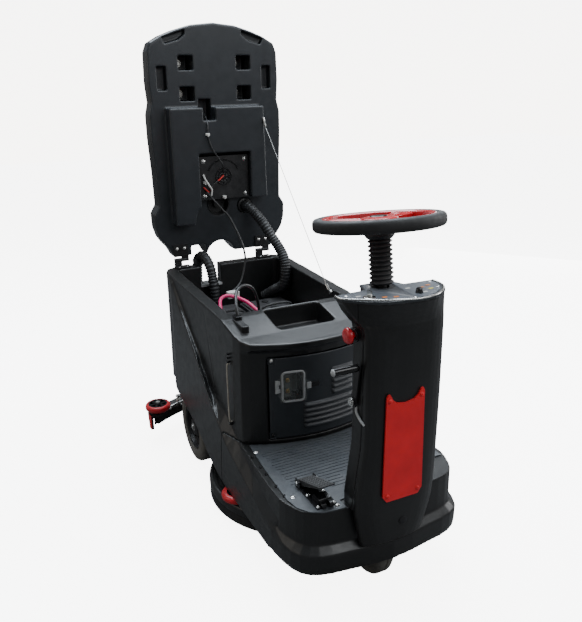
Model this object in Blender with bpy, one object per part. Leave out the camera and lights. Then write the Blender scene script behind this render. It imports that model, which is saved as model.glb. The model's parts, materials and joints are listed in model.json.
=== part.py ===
"""Ride-on floor scrubber-dryer with its tank and seat assembly swung open.

Metres, +Z up, +Y towards the back of the machine, +X to the machine's own left side.
Every sub-part is drawn in machine coordinates, whose Y starts at the middle of the front bumper.
The empty called machine then moves the whole model, so that the origin ends up at floor level,
in the middle of the machine's length and width.
"""

import math

import bmesh
import bpy
from mathutils import Vector

# Driving dimensions, in metres.
GAP = 0.0004                      # running gap between neighbouring pieces
MIDDLE_Y = 0.69167                # half way between the hand wheel's front and the seat's back

RIM_Z = 0.655                     # top of the rear body at the hinges
SHELF_Z = 0.640                   # top of the rear body in front of the compartment
LIP_Z = 0.602                     # top of the front lip
DECK_Z = 0.285                    # foot deck
BODY_FLOOR_Z = DECK_Z + 0.0008    # underside of the rear body where it stands on the deck
SEAM_Y = 0.5285                   # joint between the platform moulding and the body moulding
BACK_Y = 1.165                    # rear wall
UNDER_Z = 0.11                    # lower edge of the mouldings
BAY_HALF = 0.198                  # battery compartment, half width
BAY_FRONT_Y, BAY_BACK_Y = 0.595, 1.12
BAY_FLOOR_Z = 0.305
CAVITY_TOP_Z = 0.272              # space for the frame under the platform

REAR_WHEEL_Y, REAR_WHEEL_R = 0.897, 0.125
WHEEL_IN_X, WHEEL_OUT_X = 0.188, 0.253
DRIVE_Y, DRIVE_R, DRIVE_HALF = 0.105, 0.098, 0.0275

WHEEL_CENTRE = Vector((0.0, 0.088, 0.987))            # hand wheel
STEER_TILT = math.radians(7.5)
STEER_AXIS = Vector((0.0, math.sin(STEER_TILT), math.cos(STEER_TILT)))
HAND_WHEEL_R = 0.1425
SHAFT_END = 0.400                                      # upper shaft's length below the hand wheel
LOWER_SHAFT = WHEEL_CENTRE - STEER_AXIS * 0.410        # universal joint's centre
SMALL_SPROCKET_R, LARGE_SPROCKET_R = 0.018, 0.036      # 1 : 2 steering reduction
SPROCKET_Z = (0.2285, 0.2355)
COLUMN_TOP_Z = 0.828
COLUMN_SPLIT_Y = -0.005

HINGE_Y, HINGE_Z, HINGE_R = 1.150, 0.682, 0.007
HINGE_X = (-0.171, 0.1555)
HINGE_HALF = 0.027
LID_FACE_Y = 1.1555
LID_BOX_Y = 1.105                 # front of the box that drops into the compartment
LID_BACK_Y = 1.262
TANK_BACK_Y = 1.325

BRUSH_Y, COVER_R = 0.548, 0.293
GUARD_ROLLER = Vector((-0.245, 0.468, 0.098))
SWIVEL = Vector((0.0, 1.165, 0.134))
SQUEEGEE_ARC_R = 0.55
SQUEEGEE_ROLLER = Vector((0.316, 1.113, 0.130))
SQUEEGEE_ROLLER_R = 0.048
LIFT_PIVOT_Y, LIFT_PIVOT_Z = 1.020, 0.262            # lift arms on the frame
LEVEL_PIVOT_Y, LEVEL_PIVOT_Z = 1.165, 0.144          # lift arms on the swivel carrier

LEVER_PIVOT = Vector((-0.0975, 0.022, 0.573))
STOP_BUTTON = Vector((-0.1055, 0.026, 0.742))
KEY = Vector((-0.078, 0.000, 0.8346))
PEDAL_PIVOT = Vector((-0.168, 0.148, 0.302))
PEDAL_HALF_WIDTH = 0.028
SOCKET_HINGE = Vector((-0.1325, 0.3812, 0.465))

PAINTS = {                        # colour, roughness, metallic
    "charcoal": ((0.030, 0.032, 0.034), 0.42, 0.0),
    "charcoal_panel": ((0.045, 0.047, 0.050), 0.45, 0.0),
    "black": ((0.010, 0.010, 0.011), 0.55, 0.0),
    "frame_steel": ((0.020, 0.020, 0.022), 0.45, 0.6),
    "steel": ((0.55, 0.55, 0.54), 0.30, 1.0),
    "grey_rubber": ((0.16, 0.155, 0.145), 0.80, 0.0),
    "rubber": ((0.022, 0.022, 0.023), 0.75, 0.0),
    "red": ((0.55, 0.012, 0.018), 0.28, 0.0),
    "red_panel": ((0.36, 0.016, 0.024), 0.40, 0.0),
    "mat": ((0.075, 0.080, 0.085), 0.70, 0.0),
    "clear": ((0.60, 0.62, 0.62), 0.12, 0.0),
    "battery": ((0.05, 0.05, 0.055), 0.50, 0.0),
    "vinyl": ((0.014, 0.014, 0.015), 0.55, 0.0),
}

# Half of each plan outline, from the middle of the front to the back: (x, y).
BUMPER_HALF = [
    (0.0, -0.021), (0.0625, -0.016), (0.125, -0.006), (0.170, 0.000), (0.203, 0.009), (0.228, 0.022),
    (0.245, 0.039), (0.258, 0.066), (0.267, 0.102), (0.2728, 0.150), (0.2735, 0.220),
    (0.2735, SEAM_Y - 0.0002),
]
DECK_HALF = [
    (0.0, -0.003), (0.120, 0.000), (0.189, 0.009), (0.227, 0.031), (0.2495, 0.061), (0.258, 0.100),
    (0.258, 0.200), (0.252, 0.300), (0.243, 0.400), (0.238, SEAM_Y - 0.0002),
]
# Side view of a flank, (y, z): its lower edge, its rear edge and the ledge along its top, which
# runs from the rim's rear corner down to the bumper. The inner outline lies on the body's wall.
FLANK_UNDER = [
    (0.150, 0.124), (0.175, 0.111), (0.470, UNDER_Z), (0.560, 0.118), (0.637, 0.140), (0.712, 0.170),
    (0.800, 0.200), (0.960, 0.228),
]
FLANK_REAR_OUTER = [(1.000, 0.240), (1.012, 0.262), (1.010, 0.380), (1.030, 0.530), (1.048, 0.626)]
FLANK_REAR_INNER = [(1.050, 0.240), (1.100, 0.262), (1.105, 0.380), (1.115, 0.530), (1.120, 0.654)]
LEDGE_OUTER = [
    (1.036, 0.628), (0.976, 0.582), (0.907, 0.533), (0.833, 0.489), (0.750, 0.430), (0.670, 0.374),
    (0.5856, 0.319), (0.5497, 0.2944), (0.510, 0.269), (0.488, 0.260), (0.435, 0.245), (0.378, 0.230),
    (0.277, 0.205), (0.196, 0.187), (0.150, 0.178),
]
LEDGE_INNER = [
    (1.020, 0.648), (0.962, 0.594), (0.905, 0.537), (0.828, 0.481), (0.760, 0.419), (0.700, 0.366),
    (0.645, 0.357), (0.554, 0.344), (0.501, 0.317), (0.480, 0.300), (0.435, 0.283), (0.365, 0.276),
    (0.250, 0.2845), (0.178, 0.2845), (0.115, 0.272),
]
# Column sections: (z, left, right, front, back of the flanks, how far the front bows, 0 to 1).
COLUMN_SECTIONS = [
    (0.1833, -0.098, 0.098, -0.034, 0.040, 0.0), (0.250, -0.112, 0.117, -0.037, 0.040, 0.0),
    (0.320, -0.118, 0.124, -0.041, 0.040, 0.0), (0.460, -0.098, 0.128, -0.042, 0.040, 0.0),
    (0.600, -0.096, 0.130, -0.042, 0.040, 0.0), (0.750, -0.096, 0.132, -0.042, 0.042, 0.1),
    (0.775, -0.106, 0.133, -0.044, 0.044, 0.3), (0.800, -0.124, 0.134, -0.049, 0.048, 0.6),
    (COLUMN_TOP_Z, -0.137, 0.134, -0.058, 0.054, 1.0),
]
# Points along the column's front: (inset from the flank, set back when flat, set back when bowed).
FRONT_LEFT = [(0.0, 0.022, 0.078), (0.012, 0.011, 0.066), (0.040, 0.003, 0.038), (0.080, 0.001, 0.012)]
FRONT_RIGHT = [(0.070, 0.001, 0.002), (0.045, 0.004, 0.014), (0.018, 0.014, 0.036), (0.004, 0.032, 0.056),
               (0.0, 0.055, 0.082)]
SPINE_BACK_Y = 0.102              # the middle of the column's back, round the steering shaft
# Half of the tank's outline: (x, z), bottom to top.
TANK_HALF = [
    (0.195, 0.692), (0.212, 0.725), (0.230, 0.745), (0.246, 0.770), (0.256, 0.805), (0.258, 0.855),
    (0.240, 0.885), (0.242, 1.000), (0.248, 1.120), (0.248, 1.200), (0.238, 1.240), (0.243, 1.310),
    (0.240, 1.405), (0.228, 1.435), (0.187, 1.458), (0.140, 1.476), (0.080, 1.493), (0.0, 1.501),
]

machine = None


# ---------------------------------------------------------------- drawing tools

def clear_scene():
    for old in list(bpy.data.objects):
        bpy.data.objects.remove(old, do_unlink=True)


def material(paint):
    found = bpy.data.materials.get(paint)
    if found:
        return found
    made = bpy.data.materials.new(paint)
    made.use_nodes = True
    colour, roughness, metallic = PAINTS[paint]
    shader = made.node_tree.nodes["Principled BSDF"]
    shader.inputs["Base Color"].default_value = (*colour, 1.0)
    shader.inputs["Roughness"].default_value = roughness
    shader.inputs["Metallic"].default_value = metallic
    return made


def drawing(*steps):
    """A new bmesh with each (tool, arguments...) drawn into it."""
    mesh = bmesh.new()
    for tool, *arguments in steps:
        tool(mesh, *arguments)
    return mesh


def keep(name, mesh, pivot):
    """Turn a bmesh in machine coordinates into an object with its origin at pivot."""
    bmesh.ops.translate(mesh, verts=mesh.verts, vec=-Vector(pivot))
    bmesh.ops.connect_verts_nonplanar(mesh, angle_limit=0.0005, faces=mesh.faces)
    bmesh.ops.recalc_face_normals(mesh, faces=mesh.faces)
    data = bpy.data.meshes.new(name)
    mesh.to_mesh(data)
    mesh.free()
    obj = bpy.data.objects.new(name, data)
    obj.location = pivot
    obj.parent = machine
    bpy.context.scene.collection.objects.link(obj)
    return obj


def part(name, paint, mesh, pivot=(0.0, 0.0, 0.0)):
    obj = keep(name, mesh, pivot)
    obj.data.materials.append(material(paint))
    obj.data.shade_smooth()
    obj.data.set_sharp_from_angle(angle=math.radians(35.0))
    return obj


def shape_with(obj, mesh, operation):
    tool = keep(f"{obj.name}_tool", mesh, (0.0, 0.0, 0.0))
    tool.hide_render = True
    tool.display_type = "WIRE"
    change = obj.modifiers.new(operation.lower(), "BOOLEAN")
    change.operation = operation
    change.object = tool


def cut(obj, *steps):
    """Cut each drawn shape out of the object, one after the other."""
    for step in steps:
        shape_with(obj, drawing(step), "DIFFERENCE")


def weld(obj, *steps):
    """Join each drawn shape to the object, one after the other."""
    for step in steps:
        shape_with(obj, drawing(step), "UNION")


def placed(axis, u, v, w):
    return {"X": (w, u, v), "Y": (u, w, v), "Z": (u, v, w)}[axis]


def loft(mesh, rings, closed=False):
    """Skin a row of rings with equal point counts; closed joins the last ring to the first."""
    loops = [[mesh.verts.new(point) for point in ring] for ring in rings]
    count = len(loops[0])
    pairs = list(zip(loops, loops[1:]))
    if closed:
        pairs.append((loops[-1], loops[0]))
    for first, second in pairs:
        for i in range(count):
            j = (i + 1) % count
            mesh.faces.new((first[i], first[j], second[j], second[i]))
    if not closed:
        mesh.faces.new(loops[0][::-1])
        mesh.faces.new(loops[-1])


def prism(mesh, axis, outline, low, high):
    loft(mesh, [[placed(axis, u, v, w) for u, v in outline] for w in (low, high)])


def block(mesh, low, high):
    (x0, y0, z0), (x1, y1, z1) = low, high
    prism(mesh, "Z", [(x0, y0), (x1, y0), (x1, y1), (x0, y1)], z0, z1)


def hoop(mesh, axis, outer, inner, low, high):
    """A closed loop of rectangular section between two outlines."""
    rings = [(outer, low), (outer, high), (inner, high), (inner, low)]
    loft(mesh, [[placed(axis, u, v, w) for u, v in outline] for outline, w in rings], closed=True)


def turned(mesh, centre, direction, profile, steps=32, phase=0.0):
    """Revolve (radius, height) points about an axis; a profile that leaves the axis free is a ring."""
    solid = profile[0][0] == 0.0
    turn = Vector((0.0, 0.0, 1.0)).rotation_difference(Vector(direction))
    middle = profile[1:-1] if solid else profile
    rings = []
    for radius, height in middle:
        ring = []
        for i in range(steps):
            angle = phase + 2.0 * math.pi * i / steps
            local = Vector((radius * math.cos(angle), radius * math.sin(angle), height))
            ring.append(Vector(centre) + turn @ local)
        rings.append(ring)
    if not solid:
        loft(mesh, rings, closed=True)
        return
    loft(mesh, rings)


def rod(mesh, centre, direction, radius, low, high, steps=24, phase=0.0):
    """A plain round bar between two heights along its axis."""
    turned(mesh, centre, direction, [(0.0, low), (radius, low), (radius, high), (0.0, high)], steps, phase)


def swept(mesh, path, radius_at, sides=12):
    """A round tube along a path; radius_at gives the radius at each point's number."""
    rings = []
    side = Vector((1.0, 0.0, 0.0))
    for i, point in enumerate(path):
        ahead = (path[min(i + 1, len(path) - 1)] - path[max(i - 1, 0)]).normalized()
        side = (side - ahead * side.dot(ahead)).normalized()
        other = ahead.cross(side)
        angles = [2.0 * math.pi * k / sides for k in range(sides)]
        radius = radius_at(i)
        rings.append([point + (side * math.cos(a) + other * math.sin(a)) * radius for a in angles])
    loft(mesh, rings)


def curve_through(points, per_span):
    """Catmull-Rom curve through the given points."""
    points = [Vector(p) for p in points]
    ends = [points[0] * 2 - points[1], *points, points[-1] * 2 - points[-2]]
    path = []
    for a, b, c, d in zip(ends, ends[1:], ends[2:], ends[3:]):
        for i in range(per_span):
            t = i / per_span
            path.append(
                0.5 * (2 * b + (c - a) * t + (2 * a - 5 * b + 4 * c - d) * t ** 2
                       + (3 * b - a - 3 * c + d) * t ** 3)
            )
    path.append(points[-1])
    return path


def mirrored(half):
    """A whole outline from its half on the +X side, which starts or ends on the middle plane."""
    other = [(-x, v) for x, v in reversed(half) if x > 0.0]
    return [*half, *other]


def arc(centre, radius, start, end, steps):
    cx, cy = centre
    angles = [math.radians(start + (end - start) * i / steps) for i in range(steps + 1)]
    return [(cx + radius * math.cos(a), cy + radius * math.sin(a)) for a in angles]


def rounded(x0, y0, x1, y1, radius, steps=4):
    """A rectangle with rounded corners."""
    corners = [
        ((x1 - radius, y0 + radius), -90), ((x1 - radius, y1 - radius), 0),
        ((x0 + radius, y1 - radius), 90), ((x0 + radius, y0 + radius), 180),
    ]
    return [p for centre, start in corners for p in arc(centre, radius, start, start + 90, steps)]


def offset(outline, distance):
    """Move an outline outwards by a distance; a negative distance moves it inwards."""
    count = len(outline)
    area = sum(outline[i][0] * outline[(i + 1) % count][1] - outline[(i + 1) % count][0] * outline[i][1]
               for i in range(count))
    sense = 1.0 if area > 0.0 else -1.0
    moved = []
    for i, (x, y) in enumerate(outline):
        back = (Vector((x, y)) - Vector(outline[i - 1])).normalized()
        ahead = (Vector(outline[(i + 1) % count]) - Vector((x, y))).normalized()
        normal = Vector((back.y + ahead.y, -back.x - ahead.x)).normalized() * sense
        lengthen = 1.0 / max(0.4, normal.dot(Vector((ahead.y, -ahead.x)) * sense))
        moved.append((x + normal.x * distance * lengthen, y + normal.y * distance * lengthen))
    return moved


# ---------------------------------------------------------------- body and platform

def body_plan(front_y, bow, widen):
    """Plan of the rear body: a bowed front and rounded rear corners."""
    front = [(x, front_y + bow * x * x) for x in (0.0, 0.05, 0.10, 0.15, 0.185, 0.212)]
    side = [(0.230, 0.436), (0.236, 0.475), (0.238, 0.600), (0.241, 1.000), (0.241, 1.120),
            (0.226, 1.153), (0.195, BACK_Y)]
    half = front + [(x + widen, y) for x, y in side]
    return mirrored(half)


def flank_x(z):
    """The flank leans in towards the top of the body and stands upright at its foot."""
    return min(0.2735, 0.2465 + (RIM_Z - z) * 0.054)


def flank(mesh, side):
    """One flank: the outer skin, the ledge along its top and a root inside the body."""
    outer = FLANK_UNDER + FLANK_REAR_OUTER + LEDGE_OUTER
    inner = FLANK_UNDER + FLANK_REAR_INNER + LEDGE_INNER
    rings = [
        [(side * flank_x(z), y, z) for y, z in outer],
        [(side * 0.2365, y, z) for y, z in inner],
        [(side * 0.2245, y, z) for y, z in inner],
    ]
    loft(mesh, rings)


def rear_body():
    wall = body_plan(0.3665, 1.15, 0.004)
    upper_wall = body_plan(0.3665, 1.15, 0.0)
    lip = body_plan(0.358, 1.0, 0.0)
    levels = [(0.24, wall), (0.575, upper_wall), (0.588, lip), (0.700, lip)]
    rings = [[(x, y, z) for x, y in outline] for z, outline in levels]
    body = part("rear_body", "charcoal", drawing((loft, rings)))
    bulge = [(1.12, 0.245), (1.172, 0.250), (1.180, 0.275), (1.172, 0.330), (1.12, 0.345)]
    weld(body, (flank, -1), (flank, 1), (prism, "X", bulge, -0.20, 0.20))
    top = [(0.30, LIP_Z - 0.006), (0.375, LIP_Z), (0.445, 0.612), (0.560, SHELF_Z - 0.004),
           (0.640, SHELF_Z), (1.00, 0.650), (1.20, RIM_Z), (1.20, 0.75), (0.30, 0.75)]
    cut(body,
        (prism, "X", top, -0.30, 0.30),
        (block, (-0.30, 0.0, 0.05), (0.30, SEAM_Y, BODY_FLOOR_Z)),
        (prism, "Z", rounded(-BAY_HALF, BAY_FRONT_Y, BAY_HALF, BAY_BACK_Y, 0.02), BAY_FLOOR_Z, 0.80),
        (block, (-0.180, 0.50, 0.05), (0.180, 1.120, BAY_FLOOR_Z - 0.012)),
        (block, (-0.110, 1.09, 0.580), (-0.030, 1.20, 0.80)),
        (prism, "Z", rounded(-0.095, 0.458, 0.095, 0.584, 0.015), 0.572, 0.80),
        (block, (-0.163, 0.30, 0.297), (0.163, 0.450, 0.560)),
        (block, (-0.145, 0.44, 0.300), (0.145, 0.560, 0.550)),
        (rod, (0.0, REAR_WHEEL_Y, REAR_WHEEL_R), (1, 0, 0), 0.145, 0.178, WHEEL_OUT_X + 0.004, 32),
        (rod, (0.0, REAR_WHEEL_Y, REAR_WHEEL_R), (1, 0, 0), 0.145, -WHEEL_OUT_X - 0.004, -0.178, 32))


def front_platform():
    bumper = mirrored(BUMPER_HALF)
    deck = mirrored(DECK_HALF)
    levels = [(UNDER_Z, offset(bumper, -0.004)), (0.125, offset(bumper, -0.001)), (0.163, bumper),
              (0.181, offset(bumper, -0.003)), (0.192, offset(bumper, -0.008)), (0.197, offset(bumper, -0.015)),
              (0.199, offset(bumper, -0.024))]
    rings = [[(x, min(y, SEAM_Y - 0.0002), z) for x, y in outline] for z, outline in levels]
    platform = part("front_platform", "charcoal", drawing((loft, rings)))
    weld(platform, (prism, "Z", deck, 0.150, DECK_Z), (flank, -1), (flank, 1))
    cut(platform,
        (block, (-0.30, SEAM_Y - 0.0003, 0.05), (0.30, 1.30, 0.80)),
        (block, (-0.30, -0.10, DECK_Z + 0.0003), (0.30, 1.30, 0.80)),
        (rod, (0.0, LOWER_SHAFT.y, 0.0), (0, 0, 1), 0.015, 0.20, 0.30, 20),
        (block, (-0.205, 0.050, 0.05), (0.205, 0.60, CAVITY_TOP_Z)),
        (rod, (0.0, DRIVE_Y, 0.0), (0, 0, 1), 0.118, 0.05, CAVITY_TOP_Z, 40))
    foot_slot(platform)


def foot_slot(platform):
    """The column's front shell stands in a slot in the platform's nose."""
    rings = [[(x, y, z) for x, y in offset(section, 0.0006)] for z, section in column_outlines()[:7]]
    rings[0] = [(x, y, z - 0.0005) for x, y, z in rings[0]]
    shape_with(platform, drawing((loft, rings)), "DIFFERENCE")
    slot = platform.modifiers[-1].object
    cockpit_side = drawing((block, (-0.30, COLUMN_SPLIT_Y + 0.001, 0.10), (0.30, 0.30, 0.60)))
    shape_with(slot, cockpit_side, "DIFFERENCE")


def deck_mat():
    stations = (0.2225, 0.18, 0.12, 0.06, 0.0, -0.06, -0.12, -0.18, -0.2225)
    rear = [(x, 0.3565 + 1.15 * x * x) for x in stations]
    left = [(-0.2225, 0.350), (-0.236, 0.260), (-0.243, 0.110), (-0.236, 0.070), (-0.216, 0.038),
            (-0.184, 0.020), (-0.124, 0.014)]
    column = [(-0.124, 0.050), (-0.064, 0.054), (-0.048, 0.110)]
    outline = rear + left + column + [(0.048, 0.110), (0.243, 0.110), (0.236, 0.260), (0.2225, 0.350)]
    part("deck_mat", "mat", drawing((prism, "Z", outline, DECK_Z + 0.0006, DECK_Z + 0.0036)))


def chassis_frame():
    frame = part("chassis_frame", "frame_steel",
                 drawing((block, (-0.165, 0.056, 0.250), (0.165, 0.200, 0.262))))
    weld(frame,
         (block, (-0.040, 0.008, 0.2502), (0.040, 0.070, 0.2618)),
         (block, (-0.162, 0.180, 0.246), (-0.132, 1.100, 0.266)),
         (block, (0.132, 0.180, 0.246), (0.162, 1.100, 0.266)),
         (block, (-0.150, 0.860, 0.2465), (0.150, 0.890, 0.2655)),
         (block, (-0.150, 0.975, 0.2465), (0.150, 0.995, 0.2655)))
    for side in (-1, 1):
        weld(frame,
             (block, (side * 0.146 - 0.006, 0.875, 0.105), (side * 0.146 + 0.006, 0.919, 0.260)),
             (block, (side * 0.104 - 0.005, 0.985, 0.250), (side * 0.104 + 0.005, 1.034, 0.278)))
    cut(frame,
        (rod, (0.0, DRIVE_Y, 0.0), (0, 0, 1), 0.0130, 0.20, 0.30, 24),
        (rod, (0.0, LOWER_SHAFT.y, 0.0), (0, 0, 1), 0.0105, 0.20, 0.30, 24),
        (rod, (0.0, REAR_WHEEL_Y, REAR_WHEEL_R), (1, 0, 0), 0.0106, -0.20, 0.20, 24),
        (rod, (0.0, LIFT_PIVOT_Y, LIFT_PIVOT_Z), (1, 0, 0), 0.0086, -0.12, 0.12, 20))


# ---------------------------------------------------------------- electrical panel

def panel_y(x):
    return 0.3665 + 1.15 * x * x


def electrical_panel():
    stations = [-0.160, -0.12, -0.08, -0.04, 0.0, 0.04, 0.08, 0.12, 0.160]
    rings = [[(x, panel_y(x), 0.300), (x, panel_y(x) + 0.004, 0.300), (x, panel_y(x) + 0.004, 0.557),
              (x, panel_y(x), 0.557)] for x in stations]
    panel = part("electrical_panel", "charcoal_panel", drawing((loft, rings)))
    slots = [(0.033, 0.106, 0.423 + 0.0175 * i) for i in range(5)]
    slots += [(-0.060, 0.118, 0.331 + 0.0165 * i) for i in range(5)]
    cut(panel, *[(block, (x0, 0.30, z), (x1, 0.50, z + 0.006)) for x0, x1, z in slots])
    cut(panel, (prism, "Y", rounded(-0.122, 0.421, -0.062, 0.509, 0.008), 0.30, 0.50))


def socket_block():
    plate = part("socket_block", "charcoal_panel",
                 drawing((block, (-0.119, 0.396, 0.424), (-0.065, 0.420, 0.506))))
    weld(plate, (rod, (-0.104, 0.0, 0.480), (0, 1, 0), 0.004, 0.386, 0.400, 12),
         (rod, (-0.104, 0.0, 0.448), (0, 1, 0), 0.004, 0.386, 0.400, 12))


def socket_cover():
    """Clear cover over the charging socket, on a hinge along its outer side."""
    slope = (panel_y(0.126) - panel_y(0.058)) / 0.068
    front = panel_y(0.126) - 0.0045
    outline = [(-0.131, front), (-0.044, front - slope * 0.084), (-0.044, front - slope * 0.084 + 0.0028),
               (-0.131, front + 0.0028)]
    cover = part("socket_cover", "clear", drawing((prism, "Z", outline, 0.418, 0.512)), SOCKET_HINGE)
    weld(cover, (rod, SOCKET_HINGE, (0, 0, 1), 0.0045, -0.030, 0.030, 12))
    cut(cover, (block, (-0.054, 0.34, 0.40), (-0.040, 0.42, 0.450)),
        (block, (-0.054, 0.34, 0.480), (-0.040, 0.42, 0.53)))


def controller_box():
    part("controller_box", "black", drawing((block, (-0.040, 0.440, 0.310), (0.130, 0.545, 0.500))))


# ---------------------------------------------------------------- steering column

def column_section(left, right, front, back, bow):
    """Plan of the column: bowed front, straight flanks and a spine round the steering shaft."""
    def depth(flat, bowed):
        return front + flat + (bowed - flat) * bow

    front_left = [(left + inset, depth(flat, bowed)) for inset, flat, bowed in FRONT_LEFT]
    front_right = [(right - inset, depth(flat, bowed)) for inset, flat, bowed in FRONT_RIGHT]
    spine = [(0.056, back + 0.004), (0.040, SPINE_BACK_Y), (-0.040, SPINE_BACK_Y), (-0.056, back + 0.004)]
    return [(left, back), *front_left, (0.018, front), *front_right, (right, back), *spine]


def between(rows):
    """The rows with one more between each two, on a smooth curve through each column."""
    columns = [curve_through([(value, 0.0, 0.0) for value in column], 2) for column in zip(*rows)]
    return [[value.x for value in row] for row in zip(*columns)]


def column_outlines():
    """The column's height and plan at each level, with a smooth curve round its front."""
    outlines = []
    for z, left, right, front, back, bow in between(COLUMN_SECTIONS):
        plan = column_section(left, right, front, back, bow)
        skin, spine = plan[:-4], plan[-4:]
        smooth = curve_through([(x, y, 0.0) for x, y in skin], 2)
        outlines.append((z, [(p.x, p.y) for p in smooth] + spine))
    return outlines


def column_shell(name):
    """The whole column as a tube that is open at both ends."""
    outer = [[(x, y, z) for x, y in outline] for z, outline in column_outlines()]
    inner = [[(x, y, z) for x, y in offset(outline, -0.005)] for z, outline in column_outlines()]
    inner[0] = [(x, y, z - 0.02) for x, y, z in inner[0]]
    inner[-1] = [(x, y, z + 0.02) for x, y, z in inner[-1]]
    shell = part(name, "charcoal", drawing((loft, outer)))
    cut(shell, (loft, inner))
    return shell


def column_front():
    shell = column_shell("column_front")
    cut(shell, (block, (-0.20, COLUMN_SPLIT_Y, 0.10), (0.20, 0.20, 0.90)))


def column_rear_cover():
    """Cockpit side of the column, with the lever's pivot pin and the stop switch's collar."""
    cover = column_shell("column_rear_cover")
    cut(cover, (block, (-0.20, -0.10, 0.10), (0.20, COLUMN_SPLIT_Y + 0.0004, 0.90)),
        (block, (-0.20, -0.10, 0.10), (0.20, 0.20, DECK_Z + 0.0006)))
    weld(cover,
         (rod, (0.0, STOP_BUTTON.y, STOP_BUTTON.z), (-1, 0, 0), 0.016, 0.0935, 0.1040, 20),
         (rod, (0.0, LEVER_PIVOT.y, LEVER_PIVOT.z), (-1, 0, 0), 0.006, 0.0930, 0.1090, 16),
         (rod, (0.0, LEVER_PIVOT.y, LEVER_PIVOT.z), (-1, 0, 0), 0.010, 0.1048, 0.1100, 16))
    cut(cover, (rod, (0.0, STOP_BUTTON.y, STOP_BUTTON.z), (-1, 0, 0), 0.0085, 0.085, 0.110, 16))


def red_panel():
    """Riveted plate on the column's front, with two horns at the top."""
    outline = [(-0.046, 0.314), (0.046, 0.314), (0.058, 0.330), (0.054, 0.598), (0.050, 0.605),
               (0.044, 0.605), (0.036, 0.590), (0.024, 0.580), (0.0, 0.576), (-0.024, 0.580),
               (-0.036, 0.590), (-0.044, 0.605), (-0.050, 0.605), (-0.054, 0.598), (-0.058, 0.330)]
    part("red_panel", "red_panel", drawing((prism, "Y", outline, -0.0468, -0.0428)))


def control_panel():
    top = offset(column_section(*COLUMN_SECTIONS[-1][1:]), 0.0015)
    panel = part("control_panel", "charcoal_panel",
                 drawing((prism, "Z", top, COLUMN_TOP_Z + GAP, KEY.z - GAP)))
    cut(panel, (rod, (0.0, 0.0675, 0.0), (0, 0, 1), 0.0185, 0.80, 0.90, 24))


def key():
    knob = part("key", "steel", drawing((rod, KEY, (0, 0, 1), 0.010, 0.0, 0.004, 20)), KEY)
    weld(knob, (block, KEY + Vector((-0.0015, -0.009, 0.002)), KEY + Vector((0.0015, 0.009, 0.018))))


def e_stop_button():
    profile = [(0.0, -0.010), (0.0075, -0.010), (0.0075, 0.006), (0.0180, 0.006), (0.0200, 0.010),
               (0.0195, 0.016), (0.0140, 0.0205), (0.0, 0.0205)]
    part("e_stop_button", "red", drawing((turned, STOP_BUTTON, (-1, 0, 0), profile, 24)), STOP_BUTTON)


def lift_lever():
    top = Vector((0.0, 0.003, 0.668))
    pivot = LEVER_PIVOT
    along = Vector((0.0, top.y - pivot.y, top.z - pivot.z)).normalized()
    across = Vector((0.0, along.z, -along.y))
    x_out, x_in = -0.1044, -0.1004
    ends = [(pivot, -1, 0.011), (pivot, 1, 0.011), (top, 1, 0.008), (top, -1, 0.008)]
    outline = []
    for centre, sense, half in ends:
        reach = -0.010 if centre is pivot else 0.008
        spot = Vector((0.0, centre.y, centre.z)) + along * reach + across * sense * half
        outline.append((spot.y, spot.z))
    arm = part("lift_lever_arm", "black", drawing((prism, "X", outline, x_out, x_in)), pivot)
    cut(arm, (rod, (0.0, pivot.y, pivot.z), (1, 0, 0), 0.0066, -0.12, -0.09, 16))
    profile = [(0.0, 0.1048), (0.0085, 0.1048), (0.0095, 0.112), (0.0095, 0.166), (0.0080, 0.174),
               (0.0, 0.174)]
    part("lift_lever_grip", "rubber", drawing((turned, top, (-1, 0, 0), profile, 20)), pivot)


def steering_wheel():
    ring = [(HAND_WHEEL_R + 0.0155 * math.cos(a), 0.0165 * math.sin(a))
            for a in (2.0 * math.pi * k / 8 for k in range(8))]
    part("steering_rim", "rubber", drawing((turned, WHEEL_CENTRE, STEER_AXIS, ring, 36)), WHEEL_CENTRE)
    turn = Vector((0.0, 0.0, 1.0)).rotation_difference(STEER_AXIS)
    hub = [(0.0, -0.012), (0.040, -0.012), (0.046, -0.006), (0.046, 0.004), (0.036, 0.011), (0.0, 0.011)]
    boss = drawing((turned, WHEEL_CENTRE, STEER_AXIS, hub, 24))
    spokes = part("steering_spokes", "red", boss, WHEEL_CENTRE)
    for number in range(3):
        angle = math.radians(-90.0 + 120.0 * number)
        out = Vector((math.cos(angle), math.sin(angle), 0.0))
        side = Vector((-out.y, out.x, 0.0))
        rings = []
        for reach, half, low, high in ((0.030, 0.026, -0.010, 0.006), (0.1236, 0.018, -0.006, 0.006)):
            corners = [(-half, low), (half, low), (half, high), (-half, high)]
            rings.append([WHEEL_CENTRE + turn @ (out * reach + side * u + Vector((0.0, 0.0, w)))
                          for u, w in corners])
        weld(spokes, (loft, rings))
    shaft = [(0.0, 0.0125), (0.032, 0.0125), (0.036, 0.017), (0.036, 0.032), (0.029, 0.040), (0.011, 0.040),
             (0.011, SHAFT_END), (0.0, SHAFT_END)]
    part("steering_shaft", "black", drawing((turned, WHEEL_CENTRE, -STEER_AXIS, shaft, 24)), WHEEL_CENTRE)


def shaft_bellows():
    low, folds, pitch = 0.0405, 8, 0.0136
    outer = []
    for i in range(folds):
        start = low + pitch * i
        outer += [(0.0240, start), (0.0290, start + pitch * 0.5)]
    outer.append((0.0240, low + pitch * folds))
    profile = [(0.0185, low), *outer, (0.0185, low + pitch * folds)]
    part("shaft_bellows", "rubber", drawing((turned, WHEEL_CENTRE, -STEER_AXIS, profile, 16)))


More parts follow.
